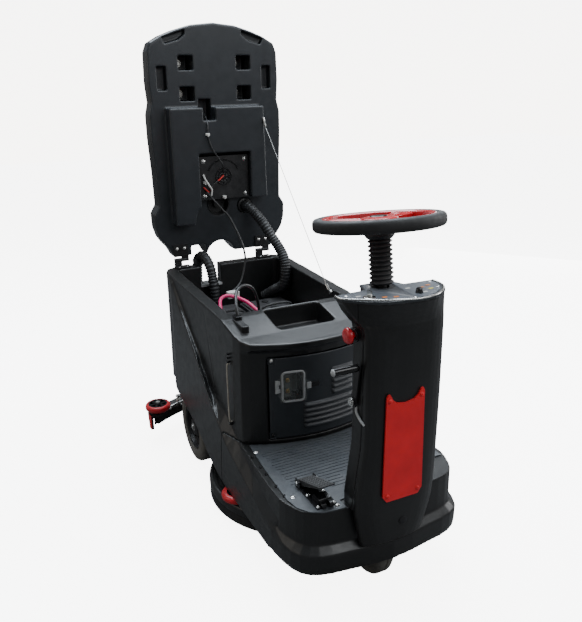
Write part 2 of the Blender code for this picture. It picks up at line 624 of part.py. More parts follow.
def lower_steering_shaft():
    low, high = SPROCKET_Z
    top = LOWER_SHAFT.z - 0.006
    profile = [(0.0, 0.218), (0.009, 0.218), (0.009, low), (SMALL_SPROCKET_R, low),
               (SMALL_SPROCKET_R, high),
               (0.009, high), (0.009, top - 0.03), (0.012, top - 0.03), (0.012, top), (0.0, top)]
    foot = (0.0, LOWER_SHAFT.y, 0.0)
    part("lower_steering_shaft", "steel", drawing((turned, foot, (0, 0, 1), profile, 24)), foot)


def chain_outline(spread):
    """Loop round both sprockets, at a distance from them."""
    small, large = SMALL_SPROCKET_R + spread, LARGE_SPROCKET_R + spread
    lean = math.degrees(math.asin((large - small) / (DRIVE_Y - LOWER_SHAFT.y)))
    rear = arc((0.0, DRIVE_Y), large, -lean, 180.0 + lean, 16)
    front = arc((0.0, LOWER_SHAFT.y), small, 180.0 + lean, 360.0 - lean, 8)
    return rear + front


def steering_chain():
    low, high = SPROCKET_Z
    part("steering_chain", "steel",
         drawing((hoop, "Z", chain_outline(0.0040), chain_outline(0.0008), low + 0.0005, high - 0.0005)))


# ---------------------------------------------------------------- wheels

def drive_yoke():
    low, high = SPROCKET_Z
    pin = [(0.0, 0.206), (0.020, 0.206), (0.020, low), (LARGE_SPROCKET_R, low), (LARGE_SPROCKET_R, high),
           (0.0122, high), (0.0122, 0.2695), (0.0, 0.2695)]
    pivot = (0.0, DRIVE_Y, 0.0)
    yoke = part("drive_yoke", "frame_steel", drawing((turned, pivot, (0, 0, 1), pin, 24)), pivot)
    out = DRIVE_HALF + 0.014
    weld(yoke, (block, (-out, DRIVE_Y - 0.030, 0.203), (out, DRIVE_Y + 0.030, 0.213)))
    for side in (-1, 1):
        x0, x1 = sorted((side * (DRIVE_HALF + 0.006), side * out))
        weld(yoke, (block, (x0, DRIVE_Y - 0.020, 0.080), (x1, DRIVE_Y + 0.020, 0.208)))
    weld(yoke, (rod, (0.0, DRIVE_Y, DRIVE_R), (1, 0, 0), 0.008, -out + 0.001, out - 0.001, 16))


def tyre(name, centre, radius, inner, low, high, steps):
    """A tyre about the X axis with a flat facet on the floor."""
    edge = 0.010
    profile = [(inner, low), (radius - edge, low), (radius, low + edge), (radius, high - edge),
               (radius - edge, high), (inner, high)]
    phase = math.pi / steps
    flat = 1.0 / math.cos(phase)
    profile = [(r * flat if r > inner else r, h) for r, h in profile]
    part(name, "grey_rubber", drawing((turned, centre, (1, 0, 0), profile, steps, phase)), centre)


def drive_wheel():
    centre = (0.0, DRIVE_Y, DRIVE_R)
    tyre("drive_tyre", centre, DRIVE_R, 0.0612, -DRIVE_HALF, DRIVE_HALF, 32)
    hub = [(0.0086, -DRIVE_HALF), (0.060, -DRIVE_HALF), (0.060, DRIVE_HALF), (0.0086, DRIVE_HALF)]
    part("drive_hub", "frame_steel", drawing((turned, centre, (1, 0, 0), hub, 32)), centre)


def rear_wheels():
    axle = (0.0, REAR_WHEEL_Y, REAR_WHEEL_R)
    part("rear_axle", "steel", drawing((rod, axle, (1, 0, 0), 0.010, -0.249, 0.249, 20)))
    for name, side in (("right", -1), ("left", 1)):
        low, high = sorted((side * WHEEL_IN_X, side * WHEEL_OUT_X))
        tyre(f"rear_tyre_{name}", axle, REAR_WHEEL_R, 0.0800, low, high, 36)
        hub = [(0.0106, low + 0.006), (0.0785, low + 0.006), (0.0785, high - 0.006), (0.0106, high - 0.006)]
        part(f"rear_hub_{name}", "black", drawing((turned, axle, (1, 0, 0), hub, 32)), axle)


# ---------------------------------------------------------------- pedal

def pedal():
    floor = DECK_Z + 0.0040
    x0, x1 = PEDAL_PIVOT.x - PEDAL_HALF_WIDTH, PEDAL_PIVOT.x + PEDAL_HALF_WIDTH
    bracket = part("pedal_bracket", "black",
                   drawing((block, (x0, 0.036, floor), (x1, 0.162, floor + 0.004))))
    for edge in (x0, x1 - 0.004):
        weld(bracket, (block, (edge, 0.134, floor + 0.001), (edge + 0.004, 0.160, 0.311)))
    weld(bracket,
         (block, (x0 + 0.008, 0.044, floor + 0.001), (x1 - 0.008, 0.080, 0.305)),
         (rod, (0.0, PEDAL_PIVOT.y, PEDAL_PIVOT.z), (1, 0, 0), 0.004, x0 + 0.001, x1 - 0.001, 12))
    outline = [(0.034, 0.3520), (0.038, 0.3455), (0.140, 0.2975), (0.157, 0.2975), (0.157, 0.3085),
               (0.150, 0.3110)]
    treadle = part("pedal_treadle", "rubber",
                   drawing((prism, "X", outline, x0 + 0.0055, x1 - 0.0055)), PEDAL_PIVOT)
    cut(treadle, (rod, (0.0, PEDAL_PIVOT.y, PEDAL_PIVOT.z), (1, 0, 0), 0.0045, -0.25, -0.05, 12))


# ---------------------------------------------------------------- compartment

def batteries():
    for name, x in (("right", -0.096), ("left", 0.092)):
        case = part(f"battery_{name}", "battery",
                    drawing((block, (x - 0.086, 0.700, BAY_FLOOR_Z + GAP), (x + 0.086, 1.030, 0.515))))
        weld(case, (rod, (x - 0.05, 0.730, 0.0), (0, 0, 1), 0.009, 0.510, 0.528, 16),
             (rod, (x + 0.05, 0.730, 0.0), (0, 0, 1), 0.009, 0.510, 0.528, 16))


def hose(mesh, points, radius, sides=10):
    swept(mesh, curve_through(points, 3), lambda i: radius, sides)


def hoses():
    """The hoses and the cable that cross a joint."""
    vacuum = [(0.091, 1.178, 0.861), (0.098, 1.120, 0.858), (0.122, 1.070, 0.815), (0.148, 1.050, 0.730),
              (0.152, 1.045, 0.640), (0.140, 1.065, 0.560), (0.120, 1.085, 0.500)]
    part("vacuum_hose", "rubber", drawing((hose, vacuum, 0.0185)))
    suction = [(0.0, 1.2365, 0.1095), (-0.006, 1.239, 0.180), (-0.085, 1.222, 0.380), (-0.098, 1.205, 0.560),
               (-0.096, 1.192, 0.650), (-0.088, 1.150, 0.684), (-0.078, 1.104, 0.650), (-0.074, 1.082, 0.580),
               (-0.072, 1.076, 0.520)]
    part("squeegee_hose", "rubber", drawing((hose, suction, 0.0180)))
    cable = [(-0.060, 1.100, 0.905), (-0.020, 1.060, 0.830), (0.016, 1.030, 0.730), (0.020, 1.000, 0.640),
             (-0.010, 0.960, 0.575), (-0.060, 0.930, 0.540)]
    part("lid_cable", "rubber", drawing((swept, curve_through(cable, 4), lambda i: 0.0035, 8)))


# ---------------------------------------------------------------- tank, seat and hinges

def recovery_tank():
    outline = mirrored(TANK_HALF)
    rings = [[(x, y, z) for x, z in shape] for y, shape in (
        (LID_FACE_Y, offset(outline, -0.004)), (LID_FACE_Y + 0.006, outline), (1.215, outline),
        (1.250, offset(outline, -0.012)), (LID_BACK_Y, offset(outline, -0.028)))]
    tank = part("recovery_tank", "charcoal", drawing((loft, rings)), (0.0, HINGE_Y, HINGE_Z))
    belly = [(TANK_BACK_Y - 0.090, rounded(-0.226, 0.735, 0.226, 1.105, 0.03)),
             (TANK_BACK_Y - 0.020, rounded(-0.212, 0.750, 0.212, 1.075, 0.03)),
             (TANK_BACK_Y, rounded(-0.190, 0.770, 0.190, 1.050, 0.03))]
    bell = [(-0.190, 1.222), (-0.190, 0.817), (-0.123, 0.813), (-0.108, 0.864), (-0.094, 0.877), (-0.094, 1.065),
            (0.103, 1.065), (0.103, 0.896), (0.166, 0.896), (0.160, 1.222)]
    weld(tank,
         (loft, [[(x, y, z) for x, z in shape] for y, shape in belly]),
         (prism, "Y", bell, LID_BOX_Y, LID_FACE_Y + 0.010))
    pockets = [(x, z) for x in (-0.107, 0.107) for z in (1.268, 1.370)]
    cut(tank, *[(block, (x - 0.027, 1.10, z - 0.024), (x + 0.027, 1.235, z + 0.024)) for x, z in pockets])
    for side in (-1, 1):
        x0, x1 = sorted((side * 0.178, side * 0.211))
        grip = [(side * 0.187, 1.452), (side * 0.102, 1.478), (side * 0.106, 1.460), (side * 0.128, 1.444),
                (side * 0.176, 1.431)]
        cut(tank, (block, (x0, 1.10, 1.280), (x1, 1.185, 1.360)), (prism, "Y", grip, 1.10, 1.175))
    cut(tank,
        (block, (-0.070, 1.05, 1.178), (-0.024, 1.20, 1.250)),
        (block, (-0.088, 1.05, 0.897), (0.101, 1.238, 1.053)),
        (rod, (-0.013, 0.0, 0.874), (0, 1, 0), 0.042, 1.05, 1.190, 28),
        (rod, (0.091, 0.0, 0.861), (0, 1, 0), 0.029, 1.05, 1.190, 24),
        (prism, "Y", [(-0.068, 0.60), (0.046, 0.60), *arc((-0.011, 0.680), 0.057, 0.0, 180.0, 10)], 1.05, 1.40),
        (block, (-0.128, 1.05, 0.60), (-0.0705, 1.40, 0.728)),
        (block, (-0.180, 1.246, 0.780), (0.180, 1.315, 1.050)),
        (rod, (0.0, 0.0, 0.900), (0, 1, 0), 0.062, 1.300, 1.40, 28))


def tank_cover():
    """Round clean-out cover of the recovery tank."""
    pivot = (0.0, TANK_BACK_Y + GAP, 0.820)
    cover = part("tank_cover", "charcoal_panel",
                 drawing((rod, (0.0, 0.0, 0.900), (0, 1, 0), 0.074, TANK_BACK_Y + GAP, TANK_BACK_Y + 0.014, 32)), pivot)
    weld(cover, (block, (-0.020, TANK_BACK_Y + GAP + 0.0002, 0.8203), (0.020, TANK_BACK_Y + 0.0135, 0.840)))


def vacuum_unit():
    plate = part("vacuum_plate", "black",
                 drawing((block, (-0.0875, 1.1280, 0.8975), (0.1005, 1.1320, 1.0525))))
    cut(plate, (rod, (0.006, 0.0, 0.975), (0, 1, 0), 0.020, 1.10, 1.20, 20))
    profile = [(0.0, 1.1330), (0.070, 1.1330), (0.070, 1.190), (0.052, 1.200), (0.052, 1.235), (0.0, 1.235)]
    part("vacuum_motor", "frame_steel", drawing((turned, (0.006, 0.0, 0.975), (0, 1, 0), profile, 28)))


def hinges():
    for name, x in (("right", HINGE_X[0]), ("left", HINGE_X[1])):
        low, high = x - HINGE_HALF, x + HINGE_HALF
        axis = (0.0, HINGE_Y, HINGE_Z)
        foot = part(f"hinge_base_{name}", "black",
                    drawing((block, (low, 1.122, RIM_Z + 0.0006), (high, 1.156, RIM_Z + 0.0046))))
        weld(foot, (block, (low, HINGE_Y - 0.006, RIM_Z + 0.001), (x - 0.0005, HINGE_Y + 0.006, HINGE_Z)),
             (rod, axis, (1, 0, 0), HINGE_R, low, x - 0.0005, 16),
             (rod, axis, (1, 0, 0), 0.003, x - 0.005, high, 12))
        leaf = part(f"hinge_leaf_{name}", "black",
                    drawing((block, (low, LID_FACE_Y - 0.0050, 0.6935), (high, LID_FACE_Y - GAP, 0.738))), axis)
        weld(leaf, (block, (x + 0.0005, HINGE_Y - 0.005, HINGE_Z), (high, HINGE_Y + 0.005, 0.700)),
             (rod, axis, (1, 0, 0), HINGE_R, x + 0.0005, high, 16))
        cut(leaf, (rod, axis, (1, 0, 0), 0.0034, x - 0.01, high + 0.01, 12))


def cushion_block(mesh, low, high, edge):
    """A pad with eased edges."""
    (x0, y0, z0), (x1, y1, z1) = low, high
    face = rounded(x0, z0, x1, z1, 0.040)
    rings = [(y0, offset(face, -edge)), (y0 + edge, face), (y1 - edge, face), (y1, offset(face, -edge))]
    loft(mesh, [[(x, y, z) for x, z in shape] for y, shape in rings])


def seat():
    pan = part("seat_pan", "black",
               drawing((block, (-0.150, LID_BACK_Y + GAP, 1.135), (0.150, 1.284, 1.435))))
    weld(pan, (block, (-0.120, LID_BACK_Y + 0.001, 1.122), (0.120, 1.420, 1.136)))
    part("seat_cushion", "vinyl",
         drawing((cushion_block, (-0.185, 1.2845, 1.195), (0.185, 1.345, 1.440), 0.012)))
    rings = []
    for z, inset in ((1.1366, 0.010), (1.148, 0.0), (1.170, 0.0), (1.182, 0.012)):
        rings.append([(x, y, z) for x, y in offset(rounded(-0.155, 1.300, 0.155, 1.452, 0.040), -inset)])
    part("seat_backrest", "vinyl", drawing((loft, rings)))


# ---------------------------------------------------------------- brush deck

def brush_deck():
    centre = (0.0, BRUSH_Y, 0.0)
    lip = COVER_R - 0.008
    cover = [(0.032, 0.0800), (0.180, 0.0800), (lip, 0.0725), (lip, 0.0550), (COVER_R, 0.0550),
             (COVER_R, 0.0760), (lip, 0.0830), (0.180, 0.0855), (0.032, 0.0855)]
    part("brush_cover", "charcoal", drawing((turned, centre, (0, 0, 1), cover, 36)))
    skirt = [(lip - 0.009, 0.0500), (lip - 0.001, 0.0200), (COVER_R, 0.0200), (lip - 0.0008, 0.0520),
             (lip - 0.0008, 0.0715), (lip - 0.009, 0.0715)]
    part("splash_skirt", "rubber", drawing((turned, centre, (0, 0, 1), skirt, 36)))
    motor = [(0.0, 0.0860), (0.075, 0.0860), (0.075, 0.100), (0.055, 0.104), (0.055, 0.222), (0.040, 0.232),
             (0.0, 0.232)]
    part("brush_motor", "frame_steel", drawing((turned, centre, (0, 0, 1), motor, 28)))
    brush = [(0.0, 0.0580), (0.200, 0.0580), (0.200, 0.0220), (0.268, 0.0220), (0.268, 0.0620), (0.240, 0.0700),
             (0.014, 0.0700), (0.014, 0.0855), (0.0, 0.0855)]
    part("scrub_brush", "rubber", drawing((turned, centre, (0, 0, 1), brush, 32)), centre)
    tread = [(0.0, -0.0108), (0.044, -0.0108), (0.0500, -0.0050), (0.0500, 0.0050), (0.044, 0.0108),
             (0.0, 0.0108)]
    part("guard_roller", "red", drawing((turned, GUARD_ROLLER, (0, 0, 1), tread, 28)), GUARD_ROLLER)


# ---------------------------------------------------------------- squeegee

def squeegee_strip(inner, outer, reach, low, high, steps=16):
    """A curved strip behind the rear wheels, bowed to the back: its outline in plan."""
    centre_y = 1.222 - SQUEEGEE_ARC_R
    spread = math.degrees(math.asin(reach / SQUEEGEE_ARC_R))
    far = arc((0.0, centre_y), SQUEEGEE_ARC_R + outer, 90.0 - spread, 90.0 + spread, steps)
    near = arc((0.0, centre_y), SQUEEGEE_ARC_R + inner, 90.0 + spread, 90.0 - spread, steps)
    return (prism, "Z", far + near, low, high)


def squeegee():
    bar = part("squeegee_bar", "black", drawing(squeegee_strip(-0.030, 0.024, 0.325, 0.094, 0.104)), SWIVEL)
    weld(bar,
         squeegee_strip(-0.003, 0.003, 0.321, 0.078, 0.098),
         (rod, (0.0, SWIVEL.y, 0.0), (0, 0, 1), 0.0085, 0.112, 0.150, 16),
         (block, (-0.030, 1.140, 0.100), (0.030, 1.215, 0.114)))
    for side in (-1, 1):
        x = side * SQUEEGEE_ROLLER.x
        x0, x1 = sorted((side * 0.300, side * 0.352))
        end0, end1 = sorted((side * 0.344, side * 0.3515))
        weld(bar, (block, (x0, 1.080, 0.098), (x1, 1.135, 0.106)),
             (block, (end0, 1.085, 0.050), (end1, 1.125, 0.100)),
             (rod, (x, SQUEEGEE_ROLLER.y, 0.0), (0, 0, 1), 0.006, 0.104, 0.148, 12))
    blade = [squeegee_strip(0.0034, 0.0074, 0.330, 0.052, 0.0936)]
    part("rear_blade", "rubber", drawing(*blade), SWIVEL)
    part("front_blade", "rubber", drawing(squeegee_strip(-0.0074, -0.0034, 0.325, 0.054, 0.0936)), SWIVEL)
    for name, side in (("right", -1), ("left", 1)):
        centre = (side * SQUEEGEE_ROLLER.x, SQUEEGEE_ROLLER.y, SQUEEGEE_ROLLER.z)
        tread = [(0.0066, -0.011), (0.043, -0.011), (SQUEEGEE_ROLLER_R, -0.005), (SQUEEGEE_ROLLER_R, 0.005),
                 (0.043, 0.011), (0.0066, 0.011)]
        part(f"squeegee_roller_{name}", "red", drawing((turned, centre, (0, 0, 1), tread, 28)), centre)


def lift_frame():
    """Two arms that carry the squeegee and hang from the rear of the frame."""
    pivot = (0.0, LIFT_PIVOT_Y, LIFT_PIVOT_Z)
    end = (0.0, LEVEL_PIVOT_Y, LEVEL_PIVOT_Z)
    arms = part("lift_frame", "frame_steel", drawing((rod, pivot, (1, 0, 0), 0.008, -0.116, 0.116, 16)), pivot)
    for side in (-1, 1):
        x0, x1 = sorted((side * 0.082, side * 0.090))
        outline = [(1.014, 0.254), (1.020, 0.270), (1.030, 0.266), (1.174, 0.150), (1.168, 0.135), (1.156, 0.138)]
        weld(arms, (prism, "X", outline, x0, x1))
        cut(arms, (rod, end, (1, 0, 0), 0.0046, side * 0.086 - 0.010, side * 0.086 + 0.010, 12))


def swivel_carrier():
    """Stays level on the lift arms and holds the squeegee's swivel bolt."""
    pivot = (0.0, LEVEL_PIVOT_Y, LEVEL_PIVOT_Z)
    plate = part("swivel_carrier", "frame_steel",
                 drawing((block, (-0.078, 1.142, 0.1250), (0.078, 1.190, 0.1310))), pivot)
    for side in (-1, 1):
        x0, x1 = sorted((side * 0.072, side * 0.080))
        weld(plate, (block, (x0, 1.156, 0.1255), (x1, 1.174, 0.153)))
        reach = sorted((side * 0.073, side * 0.093))
        weld(plate, (rod, pivot, (1, 0, 0), 0.004, *reach, 12))
    cut(plate, (rod, (0.0, SWIVEL.y, 0.0), (0, 0, 1), 0.0090, 0.10, 0.14, 16))


# ---------------------------------------------------------------- assembly

def build():
    global machine
    clear_scene()
    machine = bpy.data.objects.new("machine", None)
    machine.location = (0.0, -MIDDLE_Y, 0.0)
    bpy.context.scene.collection.objects.link(machine)
    for make in (
        rear_body, front_platform, deck_mat, chassis_frame, electrical_panel, socket_block,
        socket_cover, controller_box, column_front, column_rear_cover, red_panel, control_panel, key,
        e_stop_button, lift_lever, steering_wheel, shaft_bellows, lower_steering_shaft, steering_chain,
        drive_yoke, drive_wheel, rear_wheels, pedal, batteries, hoses, recovery_tank, tank_cover,
        vacuum_unit, hinges, seat, brush_deck, squeegee, lift_frame, swivel_carrier,
    ):
        make()


build()
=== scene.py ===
"""Looks of the ride-on floor scrubber: moulded shells, rubber, steel, vinyl, light and camera.

Everything is drawn in machine coordinates, in metres: X to the machine's left, Y from the front bumper
to the back, Z from the floor. made() moves each piece by -MIDDLE_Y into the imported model's frame.
"""

import json
import math

import bmesh
import bpy
from mathutils import Matrix, Vector


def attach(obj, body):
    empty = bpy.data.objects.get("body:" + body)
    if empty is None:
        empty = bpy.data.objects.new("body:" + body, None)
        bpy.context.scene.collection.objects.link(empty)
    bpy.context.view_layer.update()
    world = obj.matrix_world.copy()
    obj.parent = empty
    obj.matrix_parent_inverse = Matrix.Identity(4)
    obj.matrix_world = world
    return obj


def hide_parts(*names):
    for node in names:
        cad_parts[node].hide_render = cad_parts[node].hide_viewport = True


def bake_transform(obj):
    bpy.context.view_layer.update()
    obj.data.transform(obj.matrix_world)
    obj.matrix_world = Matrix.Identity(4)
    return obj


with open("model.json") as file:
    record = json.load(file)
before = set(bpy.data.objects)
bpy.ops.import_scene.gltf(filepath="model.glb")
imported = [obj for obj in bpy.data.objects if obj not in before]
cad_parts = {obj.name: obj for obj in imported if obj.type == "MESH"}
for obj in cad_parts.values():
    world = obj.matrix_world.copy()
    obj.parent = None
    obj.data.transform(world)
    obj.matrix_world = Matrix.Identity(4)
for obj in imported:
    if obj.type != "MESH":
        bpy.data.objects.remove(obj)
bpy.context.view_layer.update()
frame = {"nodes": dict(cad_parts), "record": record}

MIDDLE_Y = 0.69167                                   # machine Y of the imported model's origin
UP, LEFT, RIGHT = (0, 0, 1), (1, 0, 0), (-1, 0, 0)
FORWARD, BACKWARD = (0, -1, 0), (0, 1, 0)
BODY_OF = {node: body for body, nodes in frame["record"]["behaviour"]["bodies"].items() for node in nodes}
WHEEL_CENTRE = Vector((0.0, 0.088, 0.987))
STEER_AXIS = Vector((0.0, math.sin(math.radians(7.5)), math.cos(math.radians(7.5))))
TANK_BACK_Y = 1.325
DECK_Z, MAT_Z = 0.285, 0.2886
RAIL_EDGE_Z, RAIL_TOP_Z = 0.168, 0.188
REAR_WHEEL = Vector((0.0, 0.897, 0.125))
DRIVE_WHEEL = Vector((0.0, 0.105, 0.098))
BRUSH_Y = 0.548
GUARD_ROLLER = Vector((-0.245, 0.468, 0.098))
SQUEEGEE_ROLLER = Vector((0.316, 1.113, 0.13))
LEVER_TOP = Vector((0.0, 0.003, 0.668))
LEVER_PIVOT = Vector((-0.11, 0.022, 0.573))
STOP_BUTTON = Vector((-0.1055, 0.026, 0.742))
PEDAL_X = -0.168
SUCTION_HOSE = (0.016, 0.0195, 0.0095)                # groove radius, rib radius, rib pitch


# ---------------------------------------------------------------- shader tools

def new_shader(name):
    made_material = bpy.data.materials.new(name)
    made_material.use_nodes = True
    tree = made_material.node_tree
    return made_material, tree, tree.nodes["Principled BSDF"]


def wire(tree, output, target):
    tree.links.new(output, target)


def set_or_wire(tree, target, value):
    if isinstance(value, bpy.types.NodeSocket):
        wire(tree, value, target)
    elif isinstance(value, tuple):
        target.default_value = (*value, 1.0)
    else:
        target.default_value = value


def noise(tree, scale, detail=4.0, stretch=(1.0, 1.0, 1.0)):
    """Cloudy values over the object's own coordinates; scale is in features per metre."""
    mapping = tree.nodes.new("ShaderNodeMapping")
    mapping.inputs["Scale"].default_value = stretch
    wire(tree, tree.nodes.new("ShaderNodeTexCoord").outputs["Object"], mapping.inputs["Vector"])
    made_noise = tree.nodes.new("ShaderNodeTexNoise")
    made_noise.inputs["Scale"].default_value = scale
    made_noise.inputs["Detail"].default_value = detail
    wire(tree, mapping.outputs["Vector"], made_noise.inputs["Vector"])
    return made_noise.outputs["Fac"]


def cells(tree, scale):
    """Distance to the nearest cell middle, for pebbled grain."""
    made_cells = tree.nodes.new("ShaderNodeTexVoronoi")
    made_cells.inputs["Scale"].default_value = scale
    wire(tree, tree.nodes.new("ShaderNodeTexCoord").outputs["Object"], made_cells.inputs["Vector"])
    return made_cells.outputs["Distance"]


def remap(tree, value, low, high, to_low, to_high):
    change = tree.nodes.new("ShaderNodeMapRange")
    wire(tree, value, change.inputs["Value"])
    for name, number in (("From Min", low), ("From Max", high), ("To Min", to_low), ("To Max", to_high)):
        change.inputs[name].default_value = number
    return change.outputs["Result"]


def blend_colour(tree, factor, first, second):
    mixer = tree.nodes.new("ShaderNodeMix")
    mixer.data_type = "RGBA"
    set_or_wire(tree, mixer.inputs[0], factor)
    set_or_wire(tree, mixer.inputs[6], first)
    set_or_wire(tree, mixer.inputs[7], second)
    return mixer.outputs[2]


def times(tree, first, second):
    product = tree.nodes.new("ShaderNodeMath")
    product.operation = "MULTIPLY"
    set_or_wire(tree, product.inputs[0], first)
    set_or_wire(tree, product.inputs[1], second)
    return product.outputs[0]


def relief(tree, height, depth, below=None):
    """Bump of a given depth in metres, on top of another bump."""
    made_bump = tree.nodes.new("ShaderNodeBump")
    made_bump.inputs["Distance"].default_value = depth
    made_bump.inputs["Strength"].default_value = 1.0
    wire(tree, height, made_bump.inputs["Height"])
    if below is not None:
        wire(tree, below, made_bump.inputs["Normal"])
    return made_bump.outputs["Normal"]


def worn_edges(tree, amount):
    """1 on convex edges that hands and feet rub, 0 elsewhere."""
    edge = remap(tree, tree.nodes.new("ShaderNodeNewGeometry").outputs["Pointiness"], 0.51, 0.58, 0.0,
                 amount)
    return times(tree, edge, remap(tree, noise(tree, 60.0, 5.0), 0.35, 0.65, 0.2, 1.0))


def settled_dust(tree, amount):
    """Dust on faces that look up, in soft patches."""
    parts = tree.nodes.new("ShaderNodeSeparateXYZ")
    wire(tree, tree.nodes.new("ShaderNodeNewGeometry").outputs["Normal"], parts.inputs["Vector"])
    facing_up = remap(tree, parts.outputs["Z"], 0.35, 1.0, 0.0, amount)
    return times(tree, facing_up, remap(tree, noise(tree, 22.0, 6.0), 0.35, 0.75, 0.15, 1.0))


def surface(name, colour, roughness, metallic=0.0, grain=900.0, grain_depth=0.00015, waves=0.0, mottle=0.2,
            wear=0.0, dust=0.0, coat=0.0, stretch=(1.0, 1.0, 1.0), pebble=0.0, spread=0.1):
    """A material with cloudy colour, uneven gloss, fine grain, worn edges and dust."""
    made_material, tree, shader = new_shader(name)
    clouds = remap(tree, noise(tree, 17.0, 6.0), 0.3, 0.7, 0.0, 1.0)
    darker = tuple(c * (1.0 - mottle) for c in colour)
    lighter = tuple(min(1.0, c * (1.0 + mottle)) for c in colour)
    tint = blend_colour(tree, clouds, darker, lighter)
    if wear:
        rubbed = tuple(min(1.0, c * 2.2 + 0.03) for c in colour)
        tint = blend_colour(tree, worn_edges(tree, wear), tint, rubbed)
    if dust:
        tint = blend_colour(tree, settled_dust(tree, dust), tint, (0.24, 0.23, 0.21))
    wire(tree, tint, shader.inputs["Base Color"])
    gloss = remap(tree, noise(tree, 45.0, 5.0, stretch), 0.3, 0.7, roughness - spread, roughness + spread)
    wire(tree, gloss, shader.inputs["Roughness"])
    shader.inputs["Metallic"].default_value = metallic
    shader.inputs["Coat Weight"].default_value = coat
    shader.inputs["Coat Roughness"].default_value = 0.12
    height = relief(tree, noise(tree, grain, 3.0, stretch), grain_depth)
    if pebble:
        height = relief(tree, cells(tree, pebble), grain_depth * 2.0, height)
    if waves:
        height = relief(tree, noise(tree, 11.0, 1.0), waves, height)
    wire(tree, height, shader.inputs["Normal"])
    return made_material


def clear_plastic():
    """Thin clear cover: mostly see-through, with scratches and a hazy edge."""
    made_material, tree, shader = new_shader("clear_plastic")
    haze = remap(tree, noise(tree, 90.0, 6.0), 0.35, 0.75, 0.04, 0.22)
    wire(tree, haze, shader.inputs["Roughness"])
    wire(tree, blend_colour(tree, haze, (0.3, 0.32, 0.32), (0.5, 0.52, 0.5)), shader.inputs["Base Color"])
    wire(tree, remap(tree, noise(tree, 60.0, 4.0), 0.3, 0.7, 0.06, 0.16), shader.inputs["Alpha"])
    wire(tree, relief(tree, noise(tree, 260.0, 2.0), 0.0001), shader.inputs["Normal"])
    return made_material


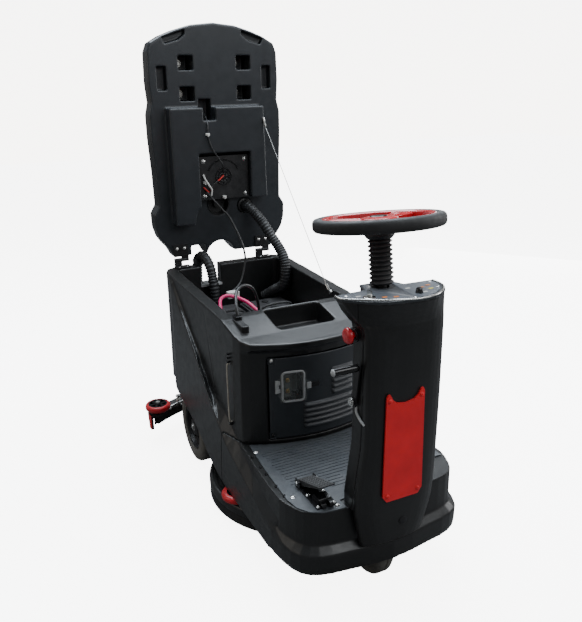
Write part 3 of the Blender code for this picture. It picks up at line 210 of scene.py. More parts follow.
def make_paints():
    return {
        "moulded": surface("moulded_plastic", (0.0115, 0.0118, 0.012), 0.34, grain=650.0,
                           grain_depth=0.0001, waves=0.0003, mottle=0.1, wear=0.1, dust=0.03,
                           spread=0.05),
        # Tank plastic: the moulded plastic made about twice as light and a little bluer; the lift is
        # painted light, standing in for the brighter light that falls on the lid.
        "tank": surface("tank_plastic_with_painted_light", (0.023, 0.0265, 0.031), 0.36, grain=650.0, grain_depth=0.0001,
                        waves=0.0003, mottle=0.1, wear=0.1, dust=0.02, spread=0.05),
        "panel": surface("panel_plastic", (0.028, 0.032, 0.037), 0.36, grain=1100.0, grain_depth=0.00008,
                         pebble=900.0, dust=0.03, mottle=0.1, spread=0.06),
        "black": surface("black_plastic", (0.007, 0.007, 0.008), 0.44, grain=1300.0, wear=0.2, dust=0.04),
        "gloss_black": surface("gloss_black_plastic", (0.008, 0.008, 0.009), 0.22, grain=500.0,
                               grain_depth=0.00005),
        "rubber": surface("black_rubber", (0.016, 0.016, 0.017), 0.62, grain=800.0, mottle=0.3,
                          dust=0.1),
        "skirt": surface("skirt_rubber", (0.006, 0.006, 0.006), 0.5, grain=500.0, mottle=0.3, dust=0.03),
        "tube": surface("level_tube_plastic", (0.42, 0.39, 0.33), 0.3, grain=300.0, grain_depth=0.00005),
        "hose": surface("hose_rubber", (0.017, 0.018, 0.02), 0.5, grain=500.0, mottle=0.3, dust=0.18),
        "tyre": surface("grey_tyre", (0.135, 0.128, 0.115), 0.78, grain=420.0, grain_depth=0.0003,
                        mottle=0.25, dust=0.25),
        "mat": surface("deck_rubber", (0.042, 0.048, 0.055), 0.42, grain=700.0, pebble=650.0, mottle=0.2,
                       wear=0.2, dust=0.1),
        "red": surface("red_gloss", (0.56, 0.01, 0.018), 0.25, grain=400.0, grain_depth=0.00008,
                       coat=0.5),
        "red_roller": surface("red_urethane", (0.5, 0.01, 0.016), 0.34, grain=600.0, wear=0.2,
                              dust=0.06),
        "red_panel": surface("red_panel", (0.8, 0.016, 0.022), 0.42, grain=1200.0, mottle=0.1,
                             dust=0.05),
        "frame": surface("powder_coat", (0.016, 0.016, 0.017), 0.42, metallic=0.3, grain=1500.0,
                         grain_depth=0.0003, wear=0.5, dust=0.12),
        "steel": surface("zinc_steel", (0.56, 0.55, 0.53), 0.3, metallic=1.0, grain=300.0, mottle=0.15,
                         stretch=(1.0, 1.0, 12.0)),
        "screw": surface("silver_screw", (0.68, 0.68, 0.66), 0.24, metallic=1.0, grain=700.0),
        "alloy": surface("cast_alloy", (0.2, 0.2, 0.205), 0.5, metallic=0.8, grain=500.0,
                         grain_depth=0.0004, dust=0.1),
        "brass": surface("brass_stud", (0.55, 0.42, 0.2), 0.32, metallic=1.0, grain=500.0),
        "rim": surface("light_grey_plastic", (0.42, 0.43, 0.43), 0.38, grain=900.0),
        "plate": surface("grey_green_plate", (0.085, 0.095, 0.085), 0.5, grain=900.0),
        "overlay": surface("membrane_overlay", (0.115, 0.13, 0.15), 0.38, grain=900.0,
                           grain_depth=0.0001, coat=0.2),
        "white": surface("white_nylon", (0.66, 0.66, 0.63), 0.45, grain=600.0, grain_depth=0.0001,
                         mottle=0.08),
        "magenta": surface("magenta_cable", (0.62, 0.02, 0.14), 0.36, grain=300.0, grain_depth=0.00008),
        "red_wire": surface("red_sleeve", (0.55, 0.02, 0.015), 0.4, grain=300.0, grain_depth=0.00008),
        "wire": surface("black_cable", (0.02, 0.02, 0.021), 0.38, grain=300.0, grain_depth=0.0001,
                        mottle=0.3),
        "orange": surface("orange_mark", (0.75, 0.22, 0.03), 0.45, grain=700.0, grain_depth=0.00005),
        "yellow": surface("yellow_mark", (0.75, 0.62, 0.05), 0.45, grain=700.0, grain_depth=0.00005),
        "vinyl": surface("seat_vinyl", (0.014, 0.014, 0.015), 0.46, grain=350.0, pebble=420.0,
                         grain_depth=0.00035, mottle=0.25, wear=0.2, dust=0.05),
        "bristle": surface("brush_bristle", (0.04, 0.042, 0.05), 0.6, grain=900.0, grain_depth=0.0008,
                           stretch=(1.0, 1.0, 0.06), mottle=0.4),
        "battery": surface("battery_case", (0.03, 0.03, 0.033), 0.48, grain=900.0, dust=0.15),
        "clear": clear_plastic(),
    }


paints = make_paints()


# ---------------------------------------------------------------- drawing tools

def drawing(*steps):
    """A new bmesh with each (tool, arguments...) drawn into it."""
    mesh = bmesh.new()
    for tool, *arguments in steps:
        tool(mesh, *arguments)
    return mesh


def loft(mesh, rings, closed=False, capped=True):
    """Skin a row of rings with equal point counts."""
    loops = [[mesh.verts.new(point) for point in ring] for ring in rings]
    count = len(loops[0])
    pairs = list(zip(loops, loops[1:]))
    if closed:
        pairs.append((loops[-1], loops[0]))
    for first, second in pairs:
        for i in range(count):
            j = (i + 1) % count
            mesh.faces.new((first[i], first[j], second[j], second[i]))
    if capped and not closed:
        mesh.faces.new(loops[0][::-1])
        mesh.faces.new(loops[-1])


def slab(mesh, axis, outline, low, high):
    place = {
        "X": lambda u, v, w: (w, u, v),
        "Y": lambda u, v, w: (u, w, v),
        "Z": lambda u, v, w: (u, v, w),
    }[axis]
    loft(mesh, [[place(u, v, w) for u, v in outline] for w in (low, high)])


def block(mesh, low, high):
    (x0, y0, z0), (x1, y1, z1) = low, high
    slab(mesh, "Z", [(x0, y0), (x1, y0), (x1, y1), (x0, y1)], z0, z1)


def turned(mesh, centre, direction, profile, steps=64, shape=None):
    """Revolve (radius, height) points about an axis; shape(radius, height, angle) may change the radius."""
    turn = Vector(UP).rotation_difference(Vector(direction))
    solid = profile[0][0] == 0.0
    rings = []
    for radius, height in (profile[1:-1] if solid else profile):
        ring = []
        for i in range(steps):
            angle = 2.0 * math.pi * i / steps
            r = shape(radius, height, angle) if shape else radius
            ring.append(Vector(centre) + turn @ Vector((r * math.cos(angle), r * math.sin(angle), height)))
        rings.append(ring)
    loft(mesh, rings, closed=not solid)


def disc(mesh, centre, direction, radius, low, high, steps=32):
    turned(mesh, centre, direction, [(0.0, low), (radius, low), (radius, high), (0.0, high)], steps)


def dome(mesh, centre, direction, radius, height):
    """A dome-headed screw on its flange."""
    profile = [(0.0, -0.001), (radius, -0.001), (radius, height * 0.18), (radius * 0.8, height * 0.34)]
    for i in range(5):
        angle = math.pi / 2 * i / 5
        profile.append((radius * 0.74 * math.cos(angle), height * (0.4 + 0.6 * math.sin(angle))))
    profile += [(radius * 0.16, height * 0.96), (radius * 0.14, height * 0.72), (0.0, height * 0.7)]
    turned(mesh, centre, direction, profile, 20)


def tube(mesh, path, radius_at, sides=16):
    """A round tube along a path; radius_at(i) is the radius at point i."""
    rings = []
    side = Vector((1.0, 0.0, 0.0))
    if abs((path[1] - path[0]).normalized().x) > 0.9:
        side = Vector(UP)
    for i, point in enumerate(path):
        ahead = (path[min(i + 1, len(path) - 1)] - path[max(i - 1, 0)]).normalized()
        side = (side - ahead * side.dot(ahead)).normalized()
        other = ahead.cross(side)
        ring = []
        for k in range(sides):
            angle = 2.0 * math.pi * k / sides
            ring.append(point + (side * math.cos(angle) + other * math.sin(angle)) * radius_at(i))
        rings.append(ring)
    loft(mesh, rings)


def curve_through(points, per_span=10):
    """Catmull-Rom curve through the given points."""
    points = [Vector(p) for p in points]
    ends = [points[0] * 2 - points[1], *points, points[-1] * 2 - points[-2]]
    path = []
    for a, b, c, d in zip(ends, ends[1:], ends[2:], ends[3:]):
        for i in range(per_span):
            t = i / per_span
            even = 2 * b + (c - a) * t
            path.append(0.5 * (even + (2 * a - 5 * b + 4 * c - d) * t * t
                               + (3 * b - a - 3 * c + d) * t ** 3))
    path.append(points[-1])
    return path


def even_path(points, step):
    """The same curve with points a fixed step apart, so that ribs come out even."""
    dense = curve_through(points, 60)
    path, walked = [dense[0]], 0.0
    for first, second in zip(dense, dense[1:]):
        walked += (second - first).length
        if walked >= step:
            path.append(second)
            walked = 0.0
    return path


def cable(mesh, points, radius, sides=10):
    tube(mesh, curve_through(points, 8), lambda i: radius, sides)


def ribbed(mesh, points, low, high, pitch, sides=24):
    """Corrugated hose: four points for each rib."""
    path = even_path(points, pitch / 4.0)
    radii = (low, (low + high) / 2.0 + 0.0004, high, (low + high) / 2.0 + 0.0004)
    tube(mesh, path, lambda i: radii[i % 4], sides)


def arc(centre, radius, start, end, steps):
    cx, cy = centre
    angles = [math.radians(start + (end - start) * i / steps) for i in range(steps + 1)]
    return [(cx + radius * math.cos(a), cy + radius * math.sin(a)) for a in angles]


def rounded(x0, y0, x1, y1, radius, steps=5):
    """A rectangle with rounded corners."""
    corners = [((x1 - radius, y0 + radius), -90), ((x1 - radius, y1 - radius), 0),
               ((x0 + radius, y1 - radius), 90), ((x0 + radius, y0 + radius), 180)]
    return [p for centre, start in corners for p in arc(centre, radius, start, start + 90, steps)]


def closed_tube(mesh, path, radius, sides=10):
    """A round bead along a closed loop."""
    rings = []
    count = len(path)
    for i, point in enumerate(path):
        ahead = (path[(i + 1) % count] - path[i - 1]).normalized()
        across = Vector(UP) if abs(ahead.z) < 0.9 else Vector(BACKWARD)
        side = ahead.cross(across).normalized()
        other = ahead.cross(side)
        angles = [2.0 * math.pi * k / sides for k in range(sides)]
        rings.append([point + (side * math.cos(a) + other * math.sin(a)) * radius for a in angles])
    loft(mesh, rings, closed=True)


def made(name, mesh, paint, body, bevel=0.0, segments=2, replaces=(), sharp=38.0, outward=True):
    """Turn a drawn mesh into a piece that rides on a body; outward turns its faces to point out."""
    bmesh.ops.translate(mesh, verts=mesh.verts, vec=(0.0, -MIDDLE_Y, 0.0))
    if outward:
        bmesh.ops.recalc_face_normals(mesh, faces=mesh.faces)
    data = bpy.data.meshes.new(name)
    mesh.to_mesh(data)
    mesh.free()
    obj = bpy.data.objects.new(name, data)
    bpy.context.scene.collection.objects.link(obj)
    data.materials.append(paints[paint])
    data.shade_smooth()
    data.set_sharp_from_angle(angle=math.radians(sharp))
    if bevel:
        ease_edges(obj, bevel, segments)
    if body:
        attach(obj, body)
    if replaces:
        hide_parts(*replaces)
    return obj


def lathed(name, centre, axis, profile, steps, paint, body, **more):
    """A piece turned about an axis."""
    return made(name, drawing((turned, centre, axis, profile, steps)), paint, body, **more)


def routed(name, points, radius, sides, paint, body, **more):
    """A cable along a smooth path."""
    return made(name, drawing((cable, points, radius, sides)), paint, body, **more)


def ease_edges(obj, width, segments=2):
    """Round off every crease, with normals that keep the flats flat."""
    change = obj.modifiers.new("eased", "BEVEL")
    change.width = width
    change.segments = segments
    change.limit_method = "ANGLE"
    change.angle_limit = math.radians(35.0)
    change.use_clamp_overlap = True
    change.harden_normals = True


def bake(obj):
    """Apply an object's modifiers and clear them."""
    evaluated = obj.evaluated_get(bpy.context.evaluated_depsgraph_get())
    data = bpy.data.meshes.new_from_object(evaluated)
    obj.modifiers.clear()
    obj.data = data


# ---------------------------------------------------------------- moulded shells

def moulded(node, paint, voxel, passes, cuts=()):
    """The CAD solid as a rotational moulding: details cut in, then remeshed and relaxed to soft edges."""
    obj = bpy.data.objects.new(f"{node}_shell", frame["nodes"][node].data.copy())
    bpy.context.scene.collection.objects.link(obj)
    tools = []
    for number, mesh in enumerate(cuts):
        tool = made(f"{node}_cut_{number}", mesh, paint, None)
        change = obj.modifiers.new("cut", "BOOLEAN")
        change.operation = "DIFFERENCE"
        change.object = tool
        tools.append(tool)
    remesh = obj.modifiers.new("remesh", "REMESH")
    remesh.mode = "VOXEL"
    remesh.voxel_size = voxel
    relax = obj.modifiers.new("relax", "SMOOTH")
    relax.factor = 0.5
    relax.iterations = passes
    bpy.context.view_layer.update()
    bake(obj)
    for tool in tools:
        bpy.data.objects.remove(tool)
    obj.data.materials.clear()
    obj.data.materials.append(paints[paint])
    obj.data.shade_smooth()
    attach(obj, BODY_OF[node])
    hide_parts(node)
    return obj


def shells():
    side_grooves = [drawing((slab, "X", [(0.438, 0.33), (0.53, 0.252), (0.53, 0.17), (0.5325, 0.17),
                                         (0.5325, 0.253), (0.4405, 0.3325)], side * 0.236, side * 0.3))
                    for side in (-1, 1)]
    steps = [drawing((slab, "X", [(0.704, 0.615), (0.716, 0.615), (0.652, 0.372), (0.641, 0.38)],
                      side * 0.2385, side * 0.26)) for side in (-1, 1)]
    moulded("rear_body", "moulded", 0.003, 5, side_grooves + steps)
    moulded("front_platform", "moulded", 0.0025, 4, [rail_shelf()])
    moulded("recovery_tank", "tank", 0.0027, 4)
    moulded("column_front", "moulded", 0.002, 5)
    moulded("column_rear_cover", "moulded", 0.002, 4)


def inward(outline, depths):
    """The outline moved to its left by each point's own depth."""
    moved = []
    for i, ((x, y), depth) in enumerate(zip(outline, depths)):
        before, after = outline[max(i - 1, 0)], outline[min(i + 1, len(outline) - 1)]
        ahead = Vector((after[0] - before[0], after[1] - before[1])).normalized()
        moved.append((x - ahead.y * depth, y + ahead.x * depth))
    return moved


def rail_shelf():
    """Cuts the deck's wall back above the bumper, so that the bumper stands out as a rail."""
    half = [(0.0, -0.021), (0.0625, -0.016), (0.125, -0.006), (0.17, 0.0), (0.203, 0.009), (0.228, 0.022),
            (0.245, 0.039), (0.258, 0.066), (0.267, 0.102), (0.2728, 0.15), (0.2735, 0.22)]
    path = [(-x, y) for x, y in reversed(half)] + half[1:]
    depths = [0.0205 if y < 0.05 else max(0.0015, 0.0205 - 0.11 * (y - 0.05)) for _, y in path]
    wall, far = inward(path, depths), inward(path, [-0.03] * len(path))
    rings = []
    for (x, y), (wx, wy), (fx, fy) in zip(path, wall, far):
        rise = 0.12 * max(0.0, y - 0.08)
        rings.append([(fx, fy, RAIL_EDGE_Z + rise - 0.02), (x, y, RAIL_EDGE_Z + rise),
                      (wx, wy, RAIL_TOP_Z + rise), (wx, wy, 0.32), (fx, fy, 0.32)])
    return drawing((loft, rings))


CAD_FINISH = {                      # node: (paint, edge width)
    "chassis_frame": ("frame", 0.0012), "drive_yoke": ("frame", 0.0012),
    "lift_frame": ("frame", 0.001), "swivel_carrier": ("frame", 0.001),
    "hinge_base_right": ("black", 0.0008), "hinge_base_left": ("black", 0.0008),
    "hinge_leaf_right": ("black", 0.0008), "hinge_leaf_left": ("black", 0.0008),
    "controller_box": ("black", 0.003), "seat_pan": ("black", 0.003), "vacuum_plate": ("black", 0.001),
    "pedal_bracket": ("gloss_black", 0.0008), "lift_lever_arm": ("black", 0.001),
    "socket_cover": ("clear", 0.0006), "red_panel": ("red_panel", 0.0012),
    "control_panel": ("panel", 0.002), "steering_shaft": ("black", 0.0015),
    "battery_right": ("battery", 0.003), "battery_left": ("battery", 0.003),
    "rear_axle": ("steel", 0.0008), "lower_steering_shaft": ("steel", 0.0006),
    "steering_chain": ("steel", 0.0005), "key": ("screw", 0.0005), "drive_hub": ("alloy", 0.001),
    "brush_motor": ("alloy", 0.0015), "vacuum_motor": ("alloy", 0.002),
    "squeegee_bar": ("frame", 0.0008), "rear_blade": ("rubber", 0.0005),
    "front_blade": ("rubber", 0.0005), "tank_cover": ("panel", 0.003),
}


def finish_cad_nodes():
    for node, (paint, width) in CAD_FINISH.items():
        obj = frame["nodes"][node]
        obj.data.materials.clear()
        obj.data.materials.append(paints[paint])
        obj.data.polygons.foreach_set("material_index", [0] * len(obj.data.polygons))
        ease_edges(obj, width)


# ---------------------------------------------------------------- electrical panel

def panel_y(x):
    return 0.3665 + 1.15 * x * x


def louvre_relief(x, z, louvres):
    """How far the panel stands forward at a point: hoods that open downwards."""
    for x0, x1, low, high in louvres:
        if x0 < x < x1 and low < z < high:
            along = min(1.0, min(x - x0, x1 - x) / 0.006)
            down = (high - z) / (high - low)
            if down > 0.8:
                return -0.0045 * along
            return 0.0085 * math.sin(math.pi * 0.5 * min(1.0, down / 0.7)) * math.sqrt(along)
    return 0.0


def electrical_panel():
    louvres = [(0.031, 0.108, 0.419 + 0.0175 * i, 0.419 + 0.0175 * i + 0.015) for i in range(5)]
    louvres += [(-0.062, 0.12, 0.327 + 0.0165 * i, 0.327 + 0.0165 * i + 0.0145) for i in range(5)]
    across, up = 160, 170
    x0, x1, z0, z1 = -0.16, 0.16, 0.3, 0.557
    pockets = [(x, z) for x in (-0.1505, 0.1505) for z in (0.548, 0.311)]
    mesh = bmesh.new()
    rows = []
    for j in range(up + 1):
        z = z0 + (z1 - z0) * j / up
        row = []
        for i in range(across + 1):
            x = x0 + (x1 - x0) * i / across
            out = louvre_relief(x, z, louvres)
            for px, pz in pockets:
                if max(abs(x - px), abs(z - pz)) < 0.0095:
                    out = -0.0035
            edge = min(x - x0, x1 - x, z - z0, z1 - z)
            out -= 0.0022 * max(0.0, 1.0 - edge / 0.004) ** 2
            row.append(mesh.verts.new((x, panel_y(x) - out, z)))
        rows.append(row)
    for j in range(up):
        for i in range(across):
            x = x0 + (x1 - x0) * (i + 0.5) / across
            z = z0 + (z1 - z0) * (j + 0.5) / up
            if -0.121 < x < -0.063 and 0.4215 < z < 0.5085:
                continue
            mesh.faces.new((rows[j][i], rows[j][i + 1], rows[j + 1][i + 1], rows[j + 1][i]))
    obj = made("electrical_panel_face", mesh, "panel", "root", replaces=("electrical_panel",), sharp=50.0,
               outward=False)
    thick = obj.modifiers.new("thick", "SOLIDIFY")
    thick.thickness = 0.003
    thick.offset = -1.0
    for number, (x, z) in enumerate(pockets):
        head = drawing((dome, (x, panel_y(x) + 0.0035, z), FORWARD, 0.0062, 0.0045))
        made(f"panel_screw_{number}", head, "gloss_black" if z < 0.4 else "screw", "root")


def socket():
    """Charging socket: a bright bezel, a plate with two studs, and a dark well."""
    rim = [Vector((x, panel_y(x) - 0.0012, z)) for x, z in rounded(-0.1235, 0.419, -0.0605, 0.511, 0.01)]
    made("socket_bezel", drawing((closed_tube, rim, 0.0036)), "rim", "root")
    well = drawing((block, (-0.1225, 0.4215, 0.42), (-0.0615, 0.424, 0.51)),
                   (block, (-0.1225, 0.38, 0.42), (-0.1205, 0.4225, 0.51)),
                   (block, (-0.0635, 0.372, 0.42), (-0.0615, 0.4225, 0.51)),
                   (block, (-0.1225, 0.38, 0.4195), (-0.0615, 0.4225, 0.4215)),
                   (block, (-0.1225, 0.38, 0.5085), (-0.0615, 0.4225, 0.5105)))
    made("socket_well", well, "gloss_black", "root", bevel=0.0004)
    plate = drawing((slab, "Y", rounded(-0.119, 0.428, -0.091, 0.502, 0.003), 0.3905, 0.42),
                    (slab, "Y", rounded(-0.087, 0.436, -0.067, 0.494, 0.003), 0.404, 0.421))
    made("socket_plate", plate, "plate", "root", bevel=0.0008, replaces=("socket_block",))
    for number, z in enumerate((0.482, 0.448)):
        stud = drawing((disc, (-0.104, 0.3905, z), FORWARD, 0.0072, 0.0, 0.0022, 6),
                       (disc, (-0.104, 0.3905, z), FORWARD, 0.004, 0.0, 0.0085, 20))
        made(f"socket_stud_{number}", stud, "brass", "root", bevel=0.0005)
    ears = drawing((block, (-0.144, panel_y(0.14) - 0.0035, 0.447), (-0.133, panel_y(0.14) + 0.001, 0.488)),
                   (block, (-0.143, panel_y(0.14) - 0.006, 0.474), (-0.13, panel_y(0.14), 0.486)),
                   (block, (-0.143, panel_y(0.14) - 0.006, 0.449), (-0.13, panel_y(0.14), 0.461)))
    made("socket_hinge_ears", ears, "rim", "root", bevel=0.001)
    latch = drawing((slab, "Y", rounded(-0.053, 0.453, -0.0385, 0.4725, 0.003), panel_y(0.045) - 0.004,
                     panel_y(0.045) + 0.001))
    made("socket_latch", latch, "rim", "root", bevel=0.0008)
    slot = drawing((slab, "Y", rounded(-0.0375, 0.455, -0.012, 0.471, 0.002), panel_y(0.02) - 0.0012,
                    panel_y(0.02) + 0.001))
    made("panel_slot", slot, "gloss_black", "root", bevel=0.0004)


# ---------------------------------------------------------------- deck, pedal and side details

def deck():
    front = [(-0.2225, 0.35), (-0.236, 0.26), (-0.243, 0.11), (-0.236, 0.07), (-0.216, 0.038),
             (-0.184, 0.02), (-0.124, 0.014), (-0.124, 0.05), (-0.064, 0.054), (-0.048, 0.11),
             (0.048, 0.11), (0.243, 0.11), (0.236, 0.26), (0.2225, 0.35)]
    back = [(x, 0.3565 + 1.15 * x * x) for x in (0.2225, 0.18, 0.12, 0.06, 0.0, -0.06, -0.12, -0.18,
                                                 -0.2225)]
    sheet = made("deck_mat_sheet", drawing((slab, "Z", front[1:-1] + back, DECK_Z + 0.0006, MAT_Z)), "mat",
                 "root", replaces=("deck_mat",))
    grooves = bmesh.new()
    for i in range(14):
        y = 0.166 + 0.0138 * i
        far = -0.205 + 0.004 * (i % 2) - 0.0012 * i * 0.5
        block(grooves, (far, y, MAT_Z - 0.0014), (-far, y + 0.0028, MAT_Z + 0.004))
    for i in range(4):
        y = 0.11 + 0.0138 * i
        block(grooves, (-0.112 + 0.004 * (i % 2), y, MAT_Z - 0.0014), (-0.064, y + 0.0028, MAT_Z + 0.004))
    tool = made("groove_tool", grooves, "mat", None)
    change = sheet.modifiers.new("grooves", "BOOLEAN")
    change.operation = "DIFFERENCE"
    change.object = tool
    bpy.context.view_layer.update()
    bake(sheet)
    bpy.data.objects.remove(tool)
    sheet.data.materials.clear()
    sheet.data.materials.append(paints["mat"])
    ease_edges(sheet, 0.0005, 1)
    for number, (x, y) in enumerate(((-0.221, 0.365), (-0.225, 0.115), (-0.142, 0.032), (0.219, 0.125),
                                     (0.221, 0.365))):
        made(f"deck_screw_{number}", drawing((dome, (x, y, MAT_Z), UP, 0.0072, 0.0042)), "screw", "root")
    for number, y in enumerate((0.345, 0.285, 0.245, 0.18, 0.13)):
        clip = drawing((block, (-0.2445 - 0.0001 * number, y, DECK_Z - 0.002),
                        (-0.2375, y + 0.006, MAT_Z + 0.0006)))
        made(f"mat_clip_{number}", clip, "gloss_black", "root", bevel=0.0006)


def pedal():
    x0, x1 = PEDAL_X - 0.0225, PEDAL_X + 0.0225
    outline = [(0.034, 0.352), (0.038, 0.3455), (0.14, 0.2975), (0.157, 0.2975), (0.157, 0.3085),
               (0.15, 0.311)]
    mesh = drawing((slab, "X", outline, x0, x1))
    slope = (0.311 - 0.352) / (0.15 - 0.034)
    for i in range(5):
        for j in range(9):
            x = x0 + 0.0075 + 0.0075 * i
            y = 0.044 + 0.0115 * j
            z = 0.352 + slope * (y - 0.034)
            block(mesh, (x - 0.0022, y - 0.0034, z - 0.003), (x + 0.0022, y + 0.0034, z + 0.0016))
    made("pedal_pad", mesh, "rubber", "pedal", bevel=0.0008, replaces=("pedal_treadle",))
    cheek = drawing(*[(disc, (x, 0.148, 0.302), (sx, 0, 0), 0.0062, 0.0, 0.0035, 6)
                      for x, sx in ((PEDAL_X - 0.028, -1), (PEDAL_X + 0.028, 1))])
    made("pedal_pin_heads", cheek, "screw", "root", bevel=0.0006)
    bolts = drawing(*[(dome, (x, y, 0.293), UP, 0.0055, 0.004)
                      for x in (PEDAL_X - 0.022, PEDAL_X + 0.022) for y in (0.042, 0.1)])
    made("pedal_bolts", bolts, "screw", "root")
    case, lug = rounded(0.046, 0.294, 0.078, 0.3085, 0.003), rounded(0.03, 0.29, 0.046, 0.304, 0.002)
    switch = drawing((slab, "X", case, PEDAL_X - 0.018, PEDAL_X + 0.018),
                     (slab, "X", lug, PEDAL_X - 0.016, PEDAL_X - 0.004),
                     (slab, "X", lug, PEDAL_X + 0.005, PEDAL_X + 0.016))
    made("pedal_switch", switch, "gloss_black", "root", bevel=0.0012)


def side_details():
    """Clear level tube with its clips."""
    x = -0.2445
    path = [(x + 0.006, 0.5, 0.331), (x - 0.003, 0.5, 0.338), (x - 0.004, 0.5, 0.42),
            (x - 0.003, 0.5, 0.512), (x + 0.006, 0.5, 0.519)]
    routed("level_tube", path, 0.0024, 14, "tube", "root")
    clips = drawing(*[(block, (x - 0.0035, 0.4965, z), (x + 0.008, 0.5035, z + 0.005))
                      for z in (0.524, 0.536, 0.548)],
                    (block, (x - 0.005, 0.494, 0.322), (x + 0.008, 0.506, 0.331)))
    made("level_tube_clips", clips, "gloss_black", "root", bevel=0.0012)


# ---------------------------------------------------------------- column, hand wheel and controls

def hand_wheel():
    ring = []
    for i in range(20):
        a = 2.0 * math.pi * i / 20
        squarish = (abs(math.cos(a)) ** 3 + abs(math.sin(a)) ** 3) ** (-1.0 / 3.0)
        ring.append((0.1425 + 0.015 * squarish * math.cos(a), 0.0158 * squarish * math.sin(a)))
    lathed("hand_wheel_grip", WHEEL_CENTRE, STEER_AXIS, ring, 128, "rubber", "steering",
         replaces=("steering_rim",), sharp=80.0)
    turn = Vector(UP).rotation_difference(STEER_AXIS)
    hub = [(0.0, -0.011), (0.038, -0.011), (0.047, -0.006), (0.049, 0.003), (0.044, 0.0095), (0.03, 0.0125),
           (0.024, 0.0125), (0.022, 0.0105), (0.0, 0.01)]
    mesh = drawing((turned, WHEEL_CENTRE, STEER_AXIS, hub, 64))
    for number in range(3):
        angle = math.radians(-90.0 + 120.0 * number)
        out = Vector((math.cos(angle), math.sin(angle), 0.0))
        side = Vector((-out.y, out.x, 0.0))
        rings = []
        for i in range(9):
            t = i / 8
            reach = 0.026 + (0.1345 - 0.026) * t
            half = 0.027 - 0.012 * math.sin(math.pi * min(1.0, t * 1.1)) + 0.01 * t * t
            top = 0.0085 + 0.0045 * t
            bottom = -0.0085 + 0.006 * t
            corners = [(-half, bottom), (half, bottom), (half, top * 0.6), (half * 0.72, top),
                       (half * 0.5, top - 0.002), (-half * 0.5, top - 0.002), (-half * 0.72, top),
                       (-half, top * 0.6)]
            rings.append([WHEEL_CENTRE + turn @ (out * reach + side * u + Vector((0.0, 0.0, w)))
                          for u, w in corners])
        loft(mesh, rings)
    inner = [(0.124, -0.004), (0.13, -0.009), (0.136, 0.0), (0.1375, 0.012), (0.132, 0.0155),
             (0.1255, 0.012)]
    turned(mesh, WHEEL_CENTRE, STEER_AXIS, inner, 96)
    made("hand_wheel_spider", mesh, "red", "steering", bevel=0.0012, segments=3,
         replaces=("steering_spokes",), sharp=45.0)
    cap = [(0.0, 0.0096), (0.0215, 0.0096), (0.0215, 0.0125), (0.019, 0.0145), (0.0, 0.015)]
    lathed("hand_wheel_cap", WHEEL_CENTRE, STEER_AXIS, cap, 40, "gloss_black", "steering")


def bellows():
    low, folds, pitch = 0.0405, 10, 0.01088
    outer = []
    for i in range(folds * 8 + 1):
        height = low + pitch * i / 8.0
        ridge = 0.5 - 0.5 * math.cos(2.0 * math.pi * i / 8.0)
        outer.append((0.0238 + 0.0058 * ridge ** 0.8, height))
    end = low + pitch * folds
    profile = [(0.0185, low), *outer, (0.0185, end)]
    lathed("column_bellows", WHEEL_CENTRE, -STEER_AXIS, profile, 56, "rubber", "root",
         replaces=("shaft_bellows",), sharp=70.0)
    nuts = bmesh.new()
    turn = Vector(UP).rotation_difference(-STEER_AXIS)
    for i in range(6):
        a = math.pi / 3 * i
        spot = WHEEL_CENTRE + turn @ Vector((0.0362 * math.cos(a), 0.0362 * math.sin(a), 0.025))
        disc(nuts, spot, turn @ Vector((math.cos(a), math.sin(a), 0.0)), 0.005, -0.002, 0.0016, 16)
    made("collar_screws", nuts, "gloss_black", "steering", bevel=0.0005)


def control_top():
    """Outline of the control panel, the bright rim round it and the membrane overlay with its marks."""
    left = [(-0.1385, 0.05), (-0.1385, 0.03), (-0.13, 0.016), (-0.108, 0.0), (-0.07, -0.025),
            (-0.025, -0.046), (0.018, -0.058)]
    right = [(0.058, -0.0555), (0.088, -0.043), (0.114, -0.02), (0.129, 0.002), (0.1345, 0.025),
             (0.1345, 0.05)]
    back = [(0.058, 0.057), (0.042, 0.101), (-0.042, 0.101), (-0.058, 0.057)]
    rim_path = [Vector((x, y, 0.8352)) for x, y in left + right]
    made("control_panel_rim", drawing((tube, curve_through(rim_path, 5), lambda i: 0.0026, 10)), "screw",
         "root")
    shrink = [(x * 0.95, 0.004 + y * 0.93) for x, y in left + right]
    shrink += [(x * 0.95, y * 0.96) for x, y in back]
    sheet = made("control_overlay", drawing((slab, "Z", shrink, 0.8344, 0.8352)), "overlay", "root")
    hole = made("overlay_tool", drawing((disc, (0.0, 0.0675, 0.83), UP, 0.03, -0.01, 0.02, 40)),
                "overlay", None)
    change = sheet.modifiers.new("shaft", "BOOLEAN")
    change.operation = "DIFFERENCE"
    change.object = hole
    bpy.context.view_layer.update()
    bake(sheet)
    bpy.data.objects.remove(hole)
    marks = (("orange", ((-0.045, -0.012), (-0.02, -0.022), (0.075, 0.012), (0.098, 0.02))),
             ("yellow", ((0.088, -0.006),)), ("white", ((0.06, -0.022), (-0.095, 0.02), (0.04, 0.02))))
    for paint, spots in marks:
        for number, (x, y) in enumerate(spots):
            mark = drawing((slab, "Z", rounded(x - 0.0062, y - 0.0032, x + 0.0062, y + 0.0032, 0.0012),
                            0.835, 0.8358))
            made(f"panel_mark_{paint}_{number}", mark, paint, "root")
    for number, (x, y) in enumerate(((-0.118, 0.036), (0.112, -0.002), (0.016, -0.045), (0.119, 0.04))):
        made(f"panel_top_screw_{number}", drawing((dome, (x, y, 0.835), UP, 0.0045, 0.0026)), "screw",
             "root")
    bezel = [(0.0108, 0.0), (0.015, 0.0), (0.015, 0.0022), (0.0132, 0.0036), (0.0108, 0.0036)]
    lathed("key_bezel", (-0.078, 0.0, 0.8346), UP, bezel, 40, "screw", "root")
    knob = [(0.0, 0.0), (0.009, 0.0), (0.009, 0.004), (0.0075, 0.01), (0.006, 0.012), (0.0, 0.012)]
    lathed("speed_knob", (0.045, -0.02, 0.835), UP, knob, 36, "gloss_black", "root")


